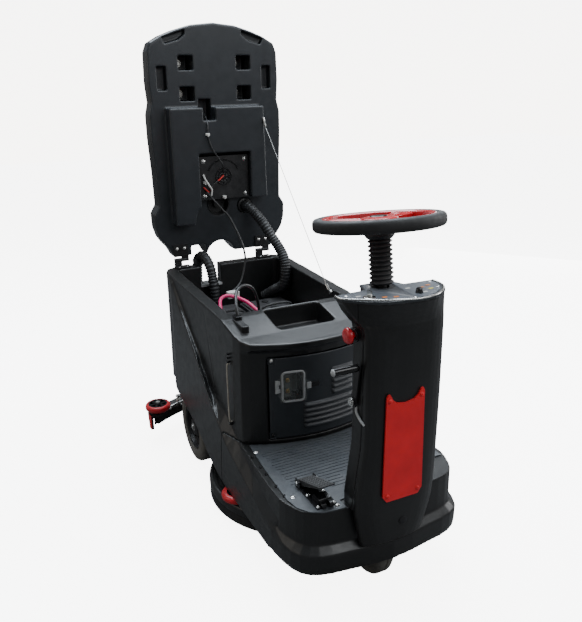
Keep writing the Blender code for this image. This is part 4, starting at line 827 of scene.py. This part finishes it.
def column_details():
    rivets = drawing(*[(dome, (x, -0.0466, z), FORWARD, 0.0068, 0.0036)
                       for x, z in ((-0.045, 0.588), (0.045, 0.588), (-0.045, 0.33), (0.045, 0.33))])
    made("red_panel_rivets", rivets, "red_panel", "root")
    plug = [(0.0, -0.001), (0.012, -0.001), (0.012, 0.0006), (0.01, 0.0016), (0.0, 0.0018)]
    lathed("column_plug", (0.012, -0.0372, 0.238), FORWARD, plug, 36, "black", "root")
    pivot_bolt = drawing((disc, LEVER_PIVOT, RIGHT, 0.0085, 0.0, 0.005, 6),
                         (disc, LEVER_PIVOT, RIGHT, 0.011, -0.0008, 0.0012, 28))
    made("lever_pivot_bolt", pivot_bolt, "screw", "root", bevel=0.0006)
    strap = [(-0.0975, 0.018, 0.56), (-0.101, 0.012, 0.548), (-0.1, -0.004, 0.534), (-0.096, -0.018, 0.524)]
    routed("lever_strap", strap, 0.0032, 10, "rim", "root")
    collar = [(0.009, -0.002), (0.0185, -0.002), (0.0185, 0.005), (0.0165, 0.006), (0.009, 0.006)]
    lathed("stop_collar", (-0.096, STOP_BUTTON.y, STOP_BUTTON.z), RIGHT, collar, 40,
         "gloss_black", "root")
    cap = [(0.0, -0.01), (0.0075, -0.01), (0.0075, 0.005), (0.0165, 0.0062), (0.0196, 0.0085),
           (0.02, 0.0115), (0.0192, 0.015), (0.0165, 0.0185), (0.012, 0.02), (0.006, 0.0205),
           (0.0, 0.0206)]
    lathed("stop_button_cap", STOP_BUTTON, RIGHT, cap, 48, "red", "stop_button",
         replaces=("e_stop_button",), sharp=60.0)
    grip = [(0.0, 0.1048), (0.008, 0.1048), (0.009, 0.107), (0.0092, 0.112), (0.009, 0.135), (0.0094, 0.16),
            (0.0092, 0.169), (0.0, 0.169)]
    lathed("lever_grip", LEVER_TOP, RIGHT, grip, 40, "gloss_black", "lever",
         replaces=("lift_lever_grip",), sharp=60.0)
    end = [(0.0, 0.1685), (0.0088, 0.1685), (0.0086, 0.1715), (0.006, 0.1738), (0.0, 0.1742)]
    lathed("lever_end_cap", LEVER_TOP, RIGHT, end, 32, "rim", "lever", sharp=60.0)
    tip = drawing((disc, (-0.1044, LEVER_TOP.y, LEVER_TOP.z), RIGHT, 0.0062, 0.0, 0.0016, 6),
                  (disc, (-0.1004, LEVER_TOP.y, LEVER_TOP.z), LEFT, 0.0062, 0.0, 0.0022, 6))
    made("lever_grip_bolt", tip, "screw", "lever", bevel=0.0005)


# ---------------------------------------------------------------- wheels

def tread(radius, height, angle, outer, blocks, half):
    """Shoulder blocks of a tyre: the radius dips between blocks near the sidewalls."""
    near_shoulder = abs(height) > half * 0.55 and radius > outer - 0.012
    gap = (angle * blocks / (2.0 * math.pi)) % 1.0 < 0.16
    return radius - 0.003 if near_shoulder and gap else radius


def tyre(name, centre, outer, inner, half, body, node, blocks):
    profile = [(inner, -half + 0.004), (inner + 0.008, -half), (outer - 0.016, -half + 0.001),
               (outer - 0.006, -half + 0.004), (outer - 0.001, -half + 0.011), (outer, -half * 0.45),
               (outer, -half * 0.1), (outer - 0.0022, -half * 0.07), (outer - 0.0022, half * 0.07),
               (outer, half * 0.1), (outer, half * 0.45), (outer - 0.001, half - 0.011),
               (outer - 0.006, half - 0.004), (outer - 0.016, half - 0.001), (inner + 0.008, half),
               (inner, half - 0.004)]
    shape = lambda r, h, a: tread(r, h, a, outer, blocks, half)
    made(name, drawing((turned, centre, LEFT, profile, blocks * 6, shape)), "tyre", body, replaces=(node,),
         sharp=50.0)


def rear_wheels():
    for name, side in (("right", -1), ("left", 1)):
        centre = Vector((side * 0.2205, REAR_WHEEL.y, REAR_WHEEL.z))
        body = f"rear_wheel_{name}"
        tyre(f"rear_tyre_{name}_tread", centre, 0.1248, 0.08, 0.0325, body, f"rear_tyre_{name}", 30)
        out = Vector((side, 0.0, 0.0))
        dish = [(0.0112, -0.02), (0.078, -0.026), (0.078, 0.026), (0.0755, 0.0275), (0.07, 0.026),
                (0.066, 0.012), (0.06, 0.008), (0.038, 0.01), (0.033, 0.02), (0.026, 0.024),
                (0.0112, 0.024)]
        lathed(f"rear_hub_{name}_dish", centre, out, dish, 72, "black", body, bevel=0.0008,
             replaces=(f"rear_hub_{name}",))
        webs = bmesh.new()
        for i in range(6):
            a = math.pi / 3 * i
            along = Vector((0.0, math.cos(a), math.sin(a)))
            aside = Vector((0.0, -math.sin(a), math.cos(a)))
            rings = []
            for reach, half, height in ((0.03, 0.004, 0.018), (0.064, 0.003, 0.014)):
                rings.append([centre + along * reach + aside * u + out * w
                              for u, w in ((-half, 0.006), (half, 0.006), (half, height), (-half, height))])
            loft(webs, rings)
        made(f"rear_hub_{name}_webs", webs, "black", body, bevel=0.001)
        nut = drawing((disc, centre, out, 0.014, 0.024, 0.0258, 32),
                      (disc, centre, out, 0.0095, 0.025, 0.03, 6))
        made(f"axle_nut_{name}", nut, "screw", body, bevel=0.0006)
    tyre("drive_tyre_tread", DRIVE_WHEEL, 0.0978, 0.0612, 0.0275, "drive_wheel", "drive_tyre", 26)
    caps = drawing(*[(disc, DRIVE_WHEEL, (sx, 0, 0), 0.03, 0.027, 0.033, 40) for sx in (-1, 1)])
    made("drive_hub_caps", caps, "alloy", "drive_wheel", bevel=0.0015)


def spoked_roller(name, centre, radius, half, body, node):
    """Red urethane tyre on a black six-spoke wheel."""
    inner = radius - 0.012
    band = [(inner, -half), (radius - 0.005, -half), (radius - 0.001, -half * 0.55), (radius, 0.0),
            (radius - 0.001, half * 0.55), (radius - 0.005, half), (inner, half)]
    lathed(f"{name}_band", centre, UP, band, 72, "red_roller", body, replaces=(node,),
         sharp=60.0)
    seat_ring = [(inner - 0.005, -half + 0.001), (inner, -half + 0.001), (inner, half + 0.0012),
                 (inner - 0.005, half + 0.0012)]
    bush = [(0.0066, -half), (0.012, -half), (0.012, half + 0.003), (0.0066, half + 0.003)]
    mesh = drawing((turned, centre, UP, seat_ring, 56), (turned, centre, UP, bush, 32))
    for i in range(6):
        a = math.pi / 3 * i
        along, aside = Vector((math.cos(a), math.sin(a), 0.0)), Vector((-math.sin(a), math.cos(a), 0.0))
        rings = [[Vector(centre) + along * reach + aside * u + Vector((0.0, 0.0, w))
                  for u, w in ((-wide, -half * 0.7), (wide, -half * 0.7), (wide, half), (-wide, half))]
                 for reach, wide in ((0.0105, 0.0042), (inner - 0.004, 0.0034))]
        loft(mesh, rings)
    made(f"{name}_spokes", mesh, "gloss_black", body, bevel=0.0006)
    web = [(0.0068, -half * 0.75), (inner - 0.0045, -half * 0.75), (inner - 0.0045, -half * 0.45),
           (0.0068, -half * 0.45)]
    lathed(f"{name}_web", centre, UP, web, 48, "black", body)


# ---------------------------------------------------------------- brush deck and squeegee

def brush_deck():
    centre = (0.0, BRUSH_Y, 0.0)
    cover = [(0.032, 0.0805), (0.18, 0.0805), (0.285, 0.0728), (0.285, 0.056), (0.287, 0.054),
             (0.2915, 0.0545), (0.293, 0.0575), (0.2932, 0.073), (0.2912, 0.0795), (0.287, 0.083),
             (0.279, 0.0832), (0.275, 0.08), (0.27, 0.0785), (0.264, 0.079), (0.256, 0.083),
             (0.18, 0.0852), (0.032, 0.0855)]
    lathed("brush_cover_shell", centre, UP, cover, 128, "moulded", "brush_deck",
         replaces=("brush_cover",), sharp=50.0)
    skirt = [(0.277, 0.0505), (0.285, 0.0205), (0.2915, 0.0203), (0.293, 0.0225), (0.2905, 0.033),
             (0.2846, 0.052), (0.2842, 0.07), (0.277, 0.07)]
    lathed("splash_skirt_ring", centre, UP, skirt, 144, "skirt", "brush_deck",
         bevel=0.0008, replaces=("splash_skirt",))
    disc_profile = [(0.0, 0.0582), (0.198, 0.0582), (0.2, 0.056), (0.266, 0.056), (0.268, 0.062),
                    (0.24, 0.0695), (0.014, 0.0698), (0.014, 0.085), (0.0, 0.085)]
    lathed("brush_disc", centre, UP, disc_profile, 96, "black", "brush", bevel=0.001,
         replaces=("scrub_brush",))
    tufts = bmesh.new()
    tuft = [(0.0, 0.057), (0.0036, 0.057), (0.005, 0.0225), (0.0, 0.0215)]
    for ring_radius in (0.206, 0.222, 0.238, 0.254):
        count = int(2.0 * math.pi * ring_radius / 0.0135)
        for i in range(count):
            a = 2.0 * math.pi * (i + ring_radius * 40.0) / count
            foot = (ring_radius * math.cos(a), BRUSH_Y + ring_radius * math.sin(a), 0.0)
            turned(tufts, foot, UP, tuft, 7)
    made("brush_tufts", tufts, "bristle", "brush")
    bolts = drawing(*[(dome, (0.066 * math.cos(a), BRUSH_Y + 0.066 * math.sin(a), 0.1), UP, 0.006, 0.005)
                      for a in (math.pi * (0.25 + 0.5 * i) for i in range(4))])
    made("brush_motor_bolts", bolts, "screw", "brush_deck")
    band = [(0.034, -0.0108), (0.044, -0.0108), (0.049, -0.0065), (0.05, 0.0), (0.049, 0.0065),
            (0.044, 0.0108), (0.034, 0.0108)]
    lathed("guard_roller_band", GUARD_ROLLER, UP, band, 72, "red_roller", "guard_roller",
         replaces=("guard_roller",), sharp=60.0)
    hub = [(0.0, -0.009), (0.0345, -0.009), (0.0345, 0.0085), (0.026, 0.0065), (0.012, 0.0095), (0.0, 0.01)]
    lathed("guard_roller_hub", GUARD_ROLLER, UP, hub, 48, "gloss_black", "guard_roller")


def squeegee():
    for name, side in (("right", -1), ("left", 1)):
        centre = Vector((side * SQUEEGEE_ROLLER.x, SQUEEGEE_ROLLER.y, SQUEEGEE_ROLLER.z))
        node = f"squeegee_roller_{name}"
        spoked_roller(f"end_roller_{name}", centre, 0.048, 0.011, node, node)
        cap = [(0.0, 0.015), (0.0085, 0.015), (0.008, 0.0185), (0.0, 0.0205)]
        lathed(f"end_roller_{name}_cap", centre, UP, cap, 28, "screw", "squeegee", sharp=60.0)
        flap = [(1.083, 0.05), (1.112, 0.047), (1.126, 0.098), (1.126, 0.1075), (1.082, 0.1075)]
        end = drawing((slab, "X", flap, side * 0.3525, side * 0.3552))
        made(f"end_bracket_{name}", end, "red_panel", "squeegee", bevel=0.0008)
        knob_x = side * 0.15
        knob = [(0.0, 0.104), (0.006, 0.104), (0.006, 0.116), (0.016, 0.118), (0.018, 0.124),
                (0.0165, 0.134), (0.0, 0.136)]
        grip = lambda r, h, a: r - (0.0012 if r > 0.015 and math.cos(a * 10.0) > 0.6 else 0.0)
        made(f"clamp_knob_{name}", drawing((turned, (knob_x, 1.183, 0.0), UP, knob, 60, grip)), "black",
             "squeegee", bevel=0.0006)
        rod = [(side * 0.27, 1.11, 0.108), (side * 0.262, 1.12, 0.112), (side * 0.18, 1.15, 0.116),
               (side * 0.06, 1.172, 0.118)]
        routed(f"squeegee_rod_{name}", rod, 0.005, 14, "steel", "squeegee")
        post_x, post_y, coil = side * 0.225, 1.149, 0.0072
        spring = [Vector((post_x + coil * math.cos(t), post_y + coil * math.sin(t), 0.106 + 0.00055 * t))
                  for t in (0.35 * i for i in range(112))]
        made(f"squeegee_spring_{name}", drawing((tube, spring, lambda i: 0.0013, 6)), "screw", "squeegee")
        post = drawing((disc, (post_x, post_y, 0.0), UP, 0.0042, 0.1, 0.136, 16),
                       (disc, (post_x, post_y, 0.0), UP, 0.0105, 0.134, 0.141, 6))
        made(f"squeegee_post_{name}", post, "screw", "squeegee", bevel=0.0006)
    clamp = drawing(*[(block, (side * 0.235 - 0.02, 1.128, 0.103), (side * 0.235 + 0.02, 1.15, 0.1075))
                      for side in (-1, 1)])
    made("blade_clamps", clamp, "steel", "squeegee", bevel=0.0008)
    elbow = [(0.0, 1.222, 0.101), (0.0, 1.232, 0.116), (-0.002, 1.238, 0.136)]
    routed("suction_elbow", elbow, 0.0215, 24, "black", "squeegee", bevel=0.001)


# ---------------------------------------------------------------- lid, hinges, hoses and cables

def lid_details():
    bolts = bmesh.new()
    washers = bmesh.new()
    for x in (-0.107, 0.107):
        for z in (1.268, 1.37):
            disc(washers, (x - 0.006, 1.235, z), FORWARD, 0.0135, 0.0, 0.002, 28)
            disc(bolts, (x - 0.006, 1.233, z), FORWARD, 0.0085, 0.0, 0.006, 6)
    made("seat_bolt_washers", washers, "screw", "lid", bevel=0.0004)
    made("seat_bolts", bolts, "screw", "lid", bevel=0.0007)
    plate_screws = drawing(*[(dome, (x, 1.1278, z), FORWARD, 0.0078, 0.0048)
                             for x in (-0.074, 0.086) for z in (0.911, 1.036)])
    made("vacuum_plate_screws", plate_screws, "screw", "lid")
    hub = Vector((0.002, 1.1285, 0.978))
    grille = bmesh.new()
    for reach, rise, steps in ((0.028, 0.003, 56), (0.008, 0.0022, 40), (0.018, 0.0022, 40)):
        ring = [(reach, 0.0), (reach + 0.003, 0.0), (reach + 0.003, rise), (reach, rise)]
        turned(grille, hub, FORWARD, ring, steps)
    for i in range(8):
        a = math.pi / 4 * i
        along, aside = Vector((math.cos(a), 0.0, math.sin(a))), Vector((-math.sin(a), 0.0, math.cos(a)))
        loft(grille, [[hub + along * reach + aside * u + Vector((0.0, w, 0.0))
                       for u, w in ((-0.0014, 0.0), (0.0014, 0.0), (0.0014, -0.0024), (-0.0014, -0.0024))]
                      for reach in (0.004, 0.03)])
    made("motor_grille", grille, "gloss_black", "lid", bevel=0.0003)
    ridge = drawing((slab, "Y", arc((0.002, 0.975), 0.066, 25.0, 155.0, 24)
                     + arc((0.002, 0.975), 0.061, 155.0, 25.0, 24), 1.1262, 1.1285))
    made("motor_plate_arc", ridge, "gloss_black", "lid", bevel=0.0005)
    cup = [(0.0, 1.186), (0.036, 1.186), (0.041, 1.16), (0.0415, 1.153), (0.0385, 1.153), (0.037, 1.158),
           (0.033, 1.18), (0.016, 1.181), (0.014, 1.168), (0.0, 1.168)]
    lathed("float_port", (-0.013, 0.0, 0.874), BACKWARD, cup, 56, "black", "lid", sharp=50.0)
    port = [(0.0205, 1.15), (0.027, 1.152), (0.0285, 1.158), (0.0285, 1.186), (0.0205, 1.186)]
    lathed("hose_port", (0.091, 0.0, 0.861), BACKWARD, port, 48, "black", "lid", sharp=50.0)
    for number, (x, z) in enumerate(((-0.06, 1.132), (-0.072, 0.962), (0.0, 0.905))):
        tie = drawing((block, (x - 0.007, 1.0945, z - 0.0045), (x + 0.007, 1.1035, z + 0.0045)),
                      (block, (x - 0.003, 1.09, z - 0.0075), (x + 0.003, 1.099, z + 0.002)))
        if number:
            bmesh.ops.translate(tie, verts=tie.verts, vec=(0.0, 0.024, 0.0))
        made(f"cable_tie_{number}", tie, "white", "lid", bevel=0.001)


def hinge_screws():
    for name, x in (("right", -0.171), ("left", 0.1555)):
        upper = drawing(*[(dome, (x + dx, 1.1502, 0.7225), FORWARD, 0.0062, 0.0036)
                          for dx in (-0.014, 0.014)])
        made(f"hinge_screws_upper_{name}", upper, "screw", "lid")
        lower = drawing(*[(dome, (x + dx, 1.129, 0.6596), UP, 0.0055, 0.003) for dx in (-0.015, 0.015)])
        made(f"hinge_screws_lower_{name}", lower, "screw", "root")


def bent(obj):
    """Bake a piece's place into its mesh; its ends are in machine coordinates."""
    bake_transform(obj)


def hose_between(name, points):
    """A length of the suction hose, drawn from one body to the next."""
    piece = made(name, drawing((ribbed, points, *SUCTION_HOSE)), "hose", None, sharp=75.0)
    bent(piece)


def hoses():
    vacuum = [(0.091, 1.18, 0.861), (0.0935, 1.15, 0.861), (0.104, 1.122, 0.85), (0.13, 1.08, 0.804),
              (0.15, 1.048, 0.756), (0.167, 1.018, 0.716), (0.1745, 0.99, 0.68), (0.1735, 0.978, 0.637),
              (0.169, 0.99, 0.58), (0.15, 1.04, 0.545), (0.125, 1.08, 0.515)]
    hose = made("vacuum_hose_ribbed", drawing((ribbed, vacuum, 0.0165, 0.0196, 0.0085)), "hose", None,
                replaces=("vacuum_hose",), sharp=75.0)
    bent(hose)
    elbow = [(-0.097, 1.207, 0.54), (-0.097, 1.198, 0.61), (-0.096, 1.19, 0.655), (-0.088, 1.152, 0.686),
             (-0.078, 1.106, 0.655), (-0.074, 1.084, 0.59), (-0.072, 1.077, 0.525)]
    made("suction_hose_elbow", drawing((ribbed, elbow, *SUCTION_HOSE)), "hose", "root",
         replaces=("squeegee_hose",), sharp=75.0)
    cuffs = drawing((tube, curve_through([(-0.097, 1.208, 0.52), (-0.097, 1.2055, 0.552)], 3),
                     lambda i: 0.0215, 32),
                    (tube, curve_through([(-0.0955, 1.189, 0.656), (-0.092, 1.172, 0.676)], 3),
                     lambda i: 0.0225, 32))
    made("suction_hose_cuffs", cuffs, "black", "root", bevel=0.0012)
    upper = [(-0.097, 1.208, 0.53), (-0.094, 1.214, 0.46), (-0.085, 1.222, 0.385), (-0.06, 1.229, 0.31)]
    hose_between("suction_hose_upper", upper)
    middle = [(-0.06, 1.229, 0.31), (-0.04, 1.233, 0.26), (-0.02, 1.236, 0.215), (-0.01, 1.238, 0.19)]
    hose_between("suction_hose_middle", middle)
    lower = [(-0.01, 1.238, 0.19), (-0.005, 1.2385, 0.16), (-0.002, 1.238, 0.128)]
    hose_between("suction_hose_lower", lower)


def cables():
    feed = [(-0.05, 1.17, 1.205), (-0.054, 1.125, 1.185), (-0.058, 1.099, 1.16), (-0.06, 1.0985, 1.13),
            (-0.045, 1.0995, 1.08), (-0.012, 1.1, 1.03), (0.0, 1.118, 1.0), (0.002, 1.1275, 0.985)]
    routed("lid_feed_cable", feed, 0.0026, 10, "wire", "lid")
    sleeve = [(0.002, 1.1265, 0.982), (-0.012, 1.122, 0.972), (-0.022, 1.121, 0.965)]
    routed("motor_lead_sleeve", sleeve, 0.003, 10, "red_wire", "lid")
    lead = [(-0.02, 1.1212, 0.966), (-0.038, 1.1185, 0.955), (-0.05, 1.119, 0.943), (-0.056, 1.123, 0.93)]
    routed("motor_lead", lead, 0.0024, 10, "wire", "lid")
    second = [(-0.078, 1.125, 0.945), (-0.07, 1.121, 0.936), (-0.06, 1.119, 0.926)]
    routed("second_lead_sleeve", second, 0.003, 10, "red_wire", "lid")
    strap = [(-0.077, 1.124, 0.99), (-0.072, 1.115, 0.972), (-0.058, 1.112, 0.948), (-0.05, 1.115, 0.934),
             (-0.052, 1.118, 0.914)]
    routed("white_strap", strap, 0.0034, 10, "white", "lid")
    drop = [(-0.068, 1.118, 0.927), (-0.043, 1.103, 0.892), (-0.02, 1.092, 0.862), (0.0017, 1.08, 0.8325),
            (0.0258, 1.05, 0.761), (0.0337, 1.035, 0.718), (0.0337, 1.03, 0.673), (0.0026, 1.01, 0.602),
            (-0.055, 0.982, 0.575)]
    piece = routed("lid_cable_run", drop, 0.0038, 12, "wire", None, replaces=("lid_cable",))
    bent(piece)
    stay = [(0.1585, 1.105, 1.165), (0.186, 0.672, 0.64)]
    piece = made("stay_cable", drawing((tube, curve_through(stay, 24), lambda i: 0.0011, 8)), "steel", None)
    bent(piece)
    ends = drawing((cable, [(0.158, 1.104, 1.18), (0.1585, 1.099, 1.166), (0.1605, 1.09, 1.15)], 0.0042))
    made("stay_upper_end", ends, "screw", "lid")
    foot = drawing((cable, [(0.185, 0.684, 0.655), (0.187, 0.668, 0.638)], 0.0042),
                   (disc, (0.1905, 0.664, 0.632), LEFT, 0.0075, -0.003, 0.003, 24))
    made("stay_lower_end", foot, "screw", "root")


def compartment():
    """Battery tops, leads and the grommet in the rim."""
    for name, x in (("right", -0.096), ("left", 0.092)):
        lid = drawing((slab, "Z", rounded(x - 0.08, 0.706, x + 0.08, 1.024, 0.006), 0.515, 0.521))
        made(f"battery_top_{name}", lid, "battery", "root", bevel=0.002)
        caps = drawing(*[(disc, (x, 0.78 + 0.042 * i, 0.0), UP, 0.013, 0.52, 0.526, 24) for i in range(6)])
        made(f"battery_caps_{name}", caps, "black", "root", bevel=0.001)
        posts = drawing(*[(disc, (x + dx, 0.73, 0.0), UP, 0.01, 0.52, 0.533, 24)
                          for dx in (-0.05, 0.05)],
                        *[(block, (x + dx - 0.013, 0.722, 0.529), (x + dx + 0.013, 0.752, 0.533))
                          for dx in (-0.05, 0.05)])
        made(f"battery_posts_{name}", posts, "screw", "root", bevel=0.001)
        strap = [(x - 0.06, 0.88, 0.523), (x - 0.05, 0.88, 0.541), (x, 0.88, 0.547),
                 (x + 0.05, 0.88, 0.541), (x + 0.06, 0.88, 0.523)]
        routed(f"battery_handle_{name}", strap, 0.0045, 10, "rubber", "root")
    pink = [(-0.146, 0.745, 0.535), (-0.15, 0.8, 0.58), (-0.132, 0.85, 0.604), (-0.098, 0.855, 0.61),
            (-0.056, 0.81, 0.596), (-0.02, 0.745, 0.56), (0.042, 0.738, 0.535)]
    routed("battery_link_cable", pink, 0.0062, 16, "magenta", "root")
    lead = [(-0.188, 0.545, 0.64), (-0.187, 0.56, 0.668), (-0.165, 0.61, 0.7), (-0.12, 0.655, 0.702),
            (-0.075, 0.69, 0.67), (-0.05, 0.715, 0.6), (-0.046, 0.735, 0.536)]
    routed("battery_lead", lead, 0.0048, 14, "wire", "root")
    plug = drawing((slab, "Z", rounded(-0.092, 0.88, -0.05, 0.905, 0.004), 0.59, 0.612),
                   (slab, "Z", rounded(-0.086, 0.903, -0.056, 0.918, 0.003), 0.594, 0.608))
    made("white_connector", plug, "white", "root", bevel=0.0012)
    box = drawing((slab, "Z", rounded(-0.206, 0.47, -0.183, 0.556, 0.006), 0.615, 0.637))
    made("lead_grommet", box, "black", "root", bevel=0.003, segments=3)
    stack = drawing((slab, "Z", rounded(-0.202, 0.53, -0.18, 0.56, 0.005), 0.625, 0.648))
    made("lead_clip", stack, "gloss_black", "root", bevel=0.002)
    hooks = drawing(*[(disc, (-0.196, y, 0.62), LEFT, 0.0085, -0.002, 0.006, 24)
                      for y in (0.735, 0.765, 0.795)])
    made("lead_hooks", hooks, "rim", "root", bevel=0.001)
    sill = drawing((slab, "Y", rounded(-0.112, 0.574, -0.028, 0.5835, 0.002), 1.116, 1.169))
    made("notch_sill", sill, "rim", "root", bevel=0.0012)


# ---------------------------------------------------------------- seat

PAD_VOXEL, PAD_PRESSURE, CLOTH_FRAMES = 0.005, 4.0, 20

def padded(name, outline, low, high, axis, body, node, limit):
    """A vinyl pad, puffed by cloth pressure."""
    mesh = drawing((slab, axis, outline, low, high))
    obj = made(name, mesh, "vinyl", None)
    remesh = obj.modifiers.new("remesh", "REMESH")
    remesh.mode = "VOXEL"
    remesh.voxel_size = PAD_VOXEL
    bpy.context.view_layer.update()
    bake(obj)
    before = [v.co.copy() for v in obj.data.vertices]
    cloth = obj.modifiers.new("cloth", "CLOTH")
    cloth.settings.use_pressure = True
    cloth.settings.uniform_pressure_force = PAD_PRESSURE
    cloth.settings.effector_weights.gravity = 0.0
    cloth.settings.tension_stiffness = 12.0
    for step in range(1, CLOTH_FRAMES + 1):
        bpy.context.scene.frame_set(step)
    bake(obj)
    bpy.context.scene.frame_set(1)
    for vertex, rest in zip(obj.data.vertices, before):
        move = vertex.co - rest
        if move.length > limit:
            vertex.co = rest + move.normalized() * limit
    obj.data.materials.clear()
    obj.data.materials.append(paints["vinyl"])
    obj.data.shade_smooth()
    finer = obj.modifiers.new("finer", "SUBSURF")
    finer.levels = 1
    finer.render_levels = 1
    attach(obj, body)
    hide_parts(node)
    return obj


def seat():
    padded("seat_cushion_pad", rounded(-0.172, 1.208, 0.172, 1.427, 0.045), 1.293, 1.332, "Y", "lid",
           "seat_cushion", 0.012)
    padded("seat_backrest_pad", rounded(-0.143, 1.31, 0.143, 1.44, 0.035), 1.144, 1.174, "Z", "lid",
           "seat_backrest", 0.01)
    welt = [Vector((x, 1.2885, z)) for x, z in rounded(-0.17, 1.21, 0.17, 1.425, 0.045, 10)]
    made("seat_welt_outer", drawing((closed_tube, welt, 0.003)), "vinyl", "lid")


def tank_back():
    knobs = drawing(*[(dome, (0.055 * math.cos(a), TANK_BACK_Y + 0.014, 0.9 + 0.055 * math.sin(a)),
                       BACKWARD, 0.007, 0.004) for a in (0.6, 2.54, 3.74, 5.68)])
    made("tank_cover_screws", knobs, "screw", "tank_cover")
    ring = [(0.062, 0.0125), (0.07, 0.0125), (0.07, 0.0165), (0.067, 0.018), (0.062, 0.0165)]
    lathed("tank_cover_ring", (0.0, TANK_BACK_Y, 0.9), BACKWARD, ring, 72, "black", "tank_cover")


# ---------------------------------------------------------------- stage

def stage():
    floor_mesh = drawing((block, (-12.0, -12.0, -0.02), (12.0, 12.0, -0.0005)))
    paints["floor"] = surface("pale_floor", (0.8, 0.8, 0.79), 0.75, grain=60.0, grain_depth=0.0002,
                              mottle=0.02)
    floor = made("floor", floor_mesh, "floor", None)
    tree = paints["floor"].node_tree
    shader = tree.nodes["Principled BSDF"]
    shader.inputs["Emission Color"].default_value = (1.0, 0.995, 0.985, 1.0)
    wire(tree, seen_by_camera(tree, 6.7, 0.0), shader.inputs["Emission Strength"])
    wire(tree, blend_colour(tree, seen_by_camera(tree, 1.0, 0.0), (0.13, 0.13, 0.13), (0.8, 0.8, 0.79)),
         shader.inputs["Base Color"])
    bpy.context.scene.world = studio_world()


def seen_by_camera(tree, shown, lit):
    """One value for what the camera sees directly and another for what lights the object."""
    ray = tree.nodes.new("ShaderNodeLightPath").outputs["Is Camera Ray"]
    return remap(tree, ray, 0.0, 1.0, lit, shown)


def studio_world():
    world = bpy.data.worlds.new("studio")
    world.use_nodes = True
    tree = world.node_tree
    background = tree.nodes["Background"]
    parts = tree.nodes.new("ShaderNodeSeparateXYZ")
    wire(tree, tree.nodes.new("ShaderNodeTexCoord").outputs["Generated"], parts.inputs["Vector"])
    height = remap(tree, parts.outputs["Z"], 0.0, 0.9, 0.0, 1.0)
    wire(tree, blend_colour(tree, height, (1.0, 0.97, 0.93), (0.8, 0.9, 1.0)), background.inputs["Color"])
    wire(tree, seen_by_camera(tree, 7.0, 0.22), background.inputs["Strength"])
    return world


def lamp(name, place, target, size, power, colour):
    data = bpy.data.lights.new(name, "AREA")
    data.shape = "RECTANGLE"
    data.size, data.size_y = size
    data.energy = power
    data.color = colour
    obj = bpy.data.objects.new(name, data)
    bpy.context.scene.collection.objects.link(obj)
    obj.location = place
    obj.rotation_mode = "QUATERNION"
    obj.rotation_quaternion = (Vector(target) - Vector(place)).to_track_quat("-Z", "Y")


def lights():
    lamp("sky_panel", (0.3, 0.9, 3.4), (0.0, 0.1, 0.4), (3.0, 3.0), 240.0, (0.84, 0.92, 1.0))
    lamp("side_panel", (-3.2, 0.6, 1.6), (0.0, 0.0, 0.5), (2.4, 2.0), 14.0, (1.0, 0.92, 0.82))
    lamp("edge_panel", (3.0, -0.8, 1.6), (0.0, 0.0, 0.6), (0.8, 2.0), 34.0, (0.97, 0.98, 1.0))
    lamp("high_panel", (1.6, -2.7, 2.9), (0.0, -0.6, 0.2), (1.8, 1.4), 34.0, (0.96, 0.98, 1.0))
    lamp("rim_panel", (2.9, 1.9, 0.7), (0.0, -0.5, 0.6), (1.6, 1.6), 22.0, (0.97, 0.98, 1.0))
    lamp("front_panel", (0.2, -3.0, 2.6), (0.0, 0.4, 1.1), (1.6, 1.2), 16.0, (0.95, 0.98, 1.0))


def camera():
    """Camera at the standing view from the front right of the machine."""
    place = Vector((-0.873, -1.93867, 1.301))
    yaw, pitch, roll = (math.radians(a) for a in (-25.611, -18.581, -1.079))
    focal, long_side = 681.124, 622.0
    ahead = Vector((-math.sin(yaw) * math.cos(pitch), math.cos(yaw) * math.cos(pitch), math.sin(pitch)))
    across = ahead.cross(Vector(UP)).normalized()
    above = across.cross(ahead)
    right = across * math.cos(roll) + above * math.sin(roll)
    up = -across * math.sin(roll) + above * math.cos(roll)
    data = bpy.data.cameras.new("camera")
    data.sensor_width = 36.0
    data.lens = focal * data.sensor_width / long_side
    obj = bpy.data.objects.new("camera", data)
    bpy.context.scene.collection.objects.link(obj)
    turn = Matrix((right, up, -ahead)).transposed().to_4x4()
    obj.matrix_world = Matrix.Translation(place) @ turn
    bpy.context.scene.camera = obj


for step in (shells, finish_cad_nodes, electrical_panel, socket, deck, pedal, side_details, hand_wheel,
             bellows, control_top, column_details, rear_wheels, brush_deck, squeegee, lid_details,
             hinge_screws, hoses, cables, compartment, seat, tank_back, stage, lights, camera):
    step()
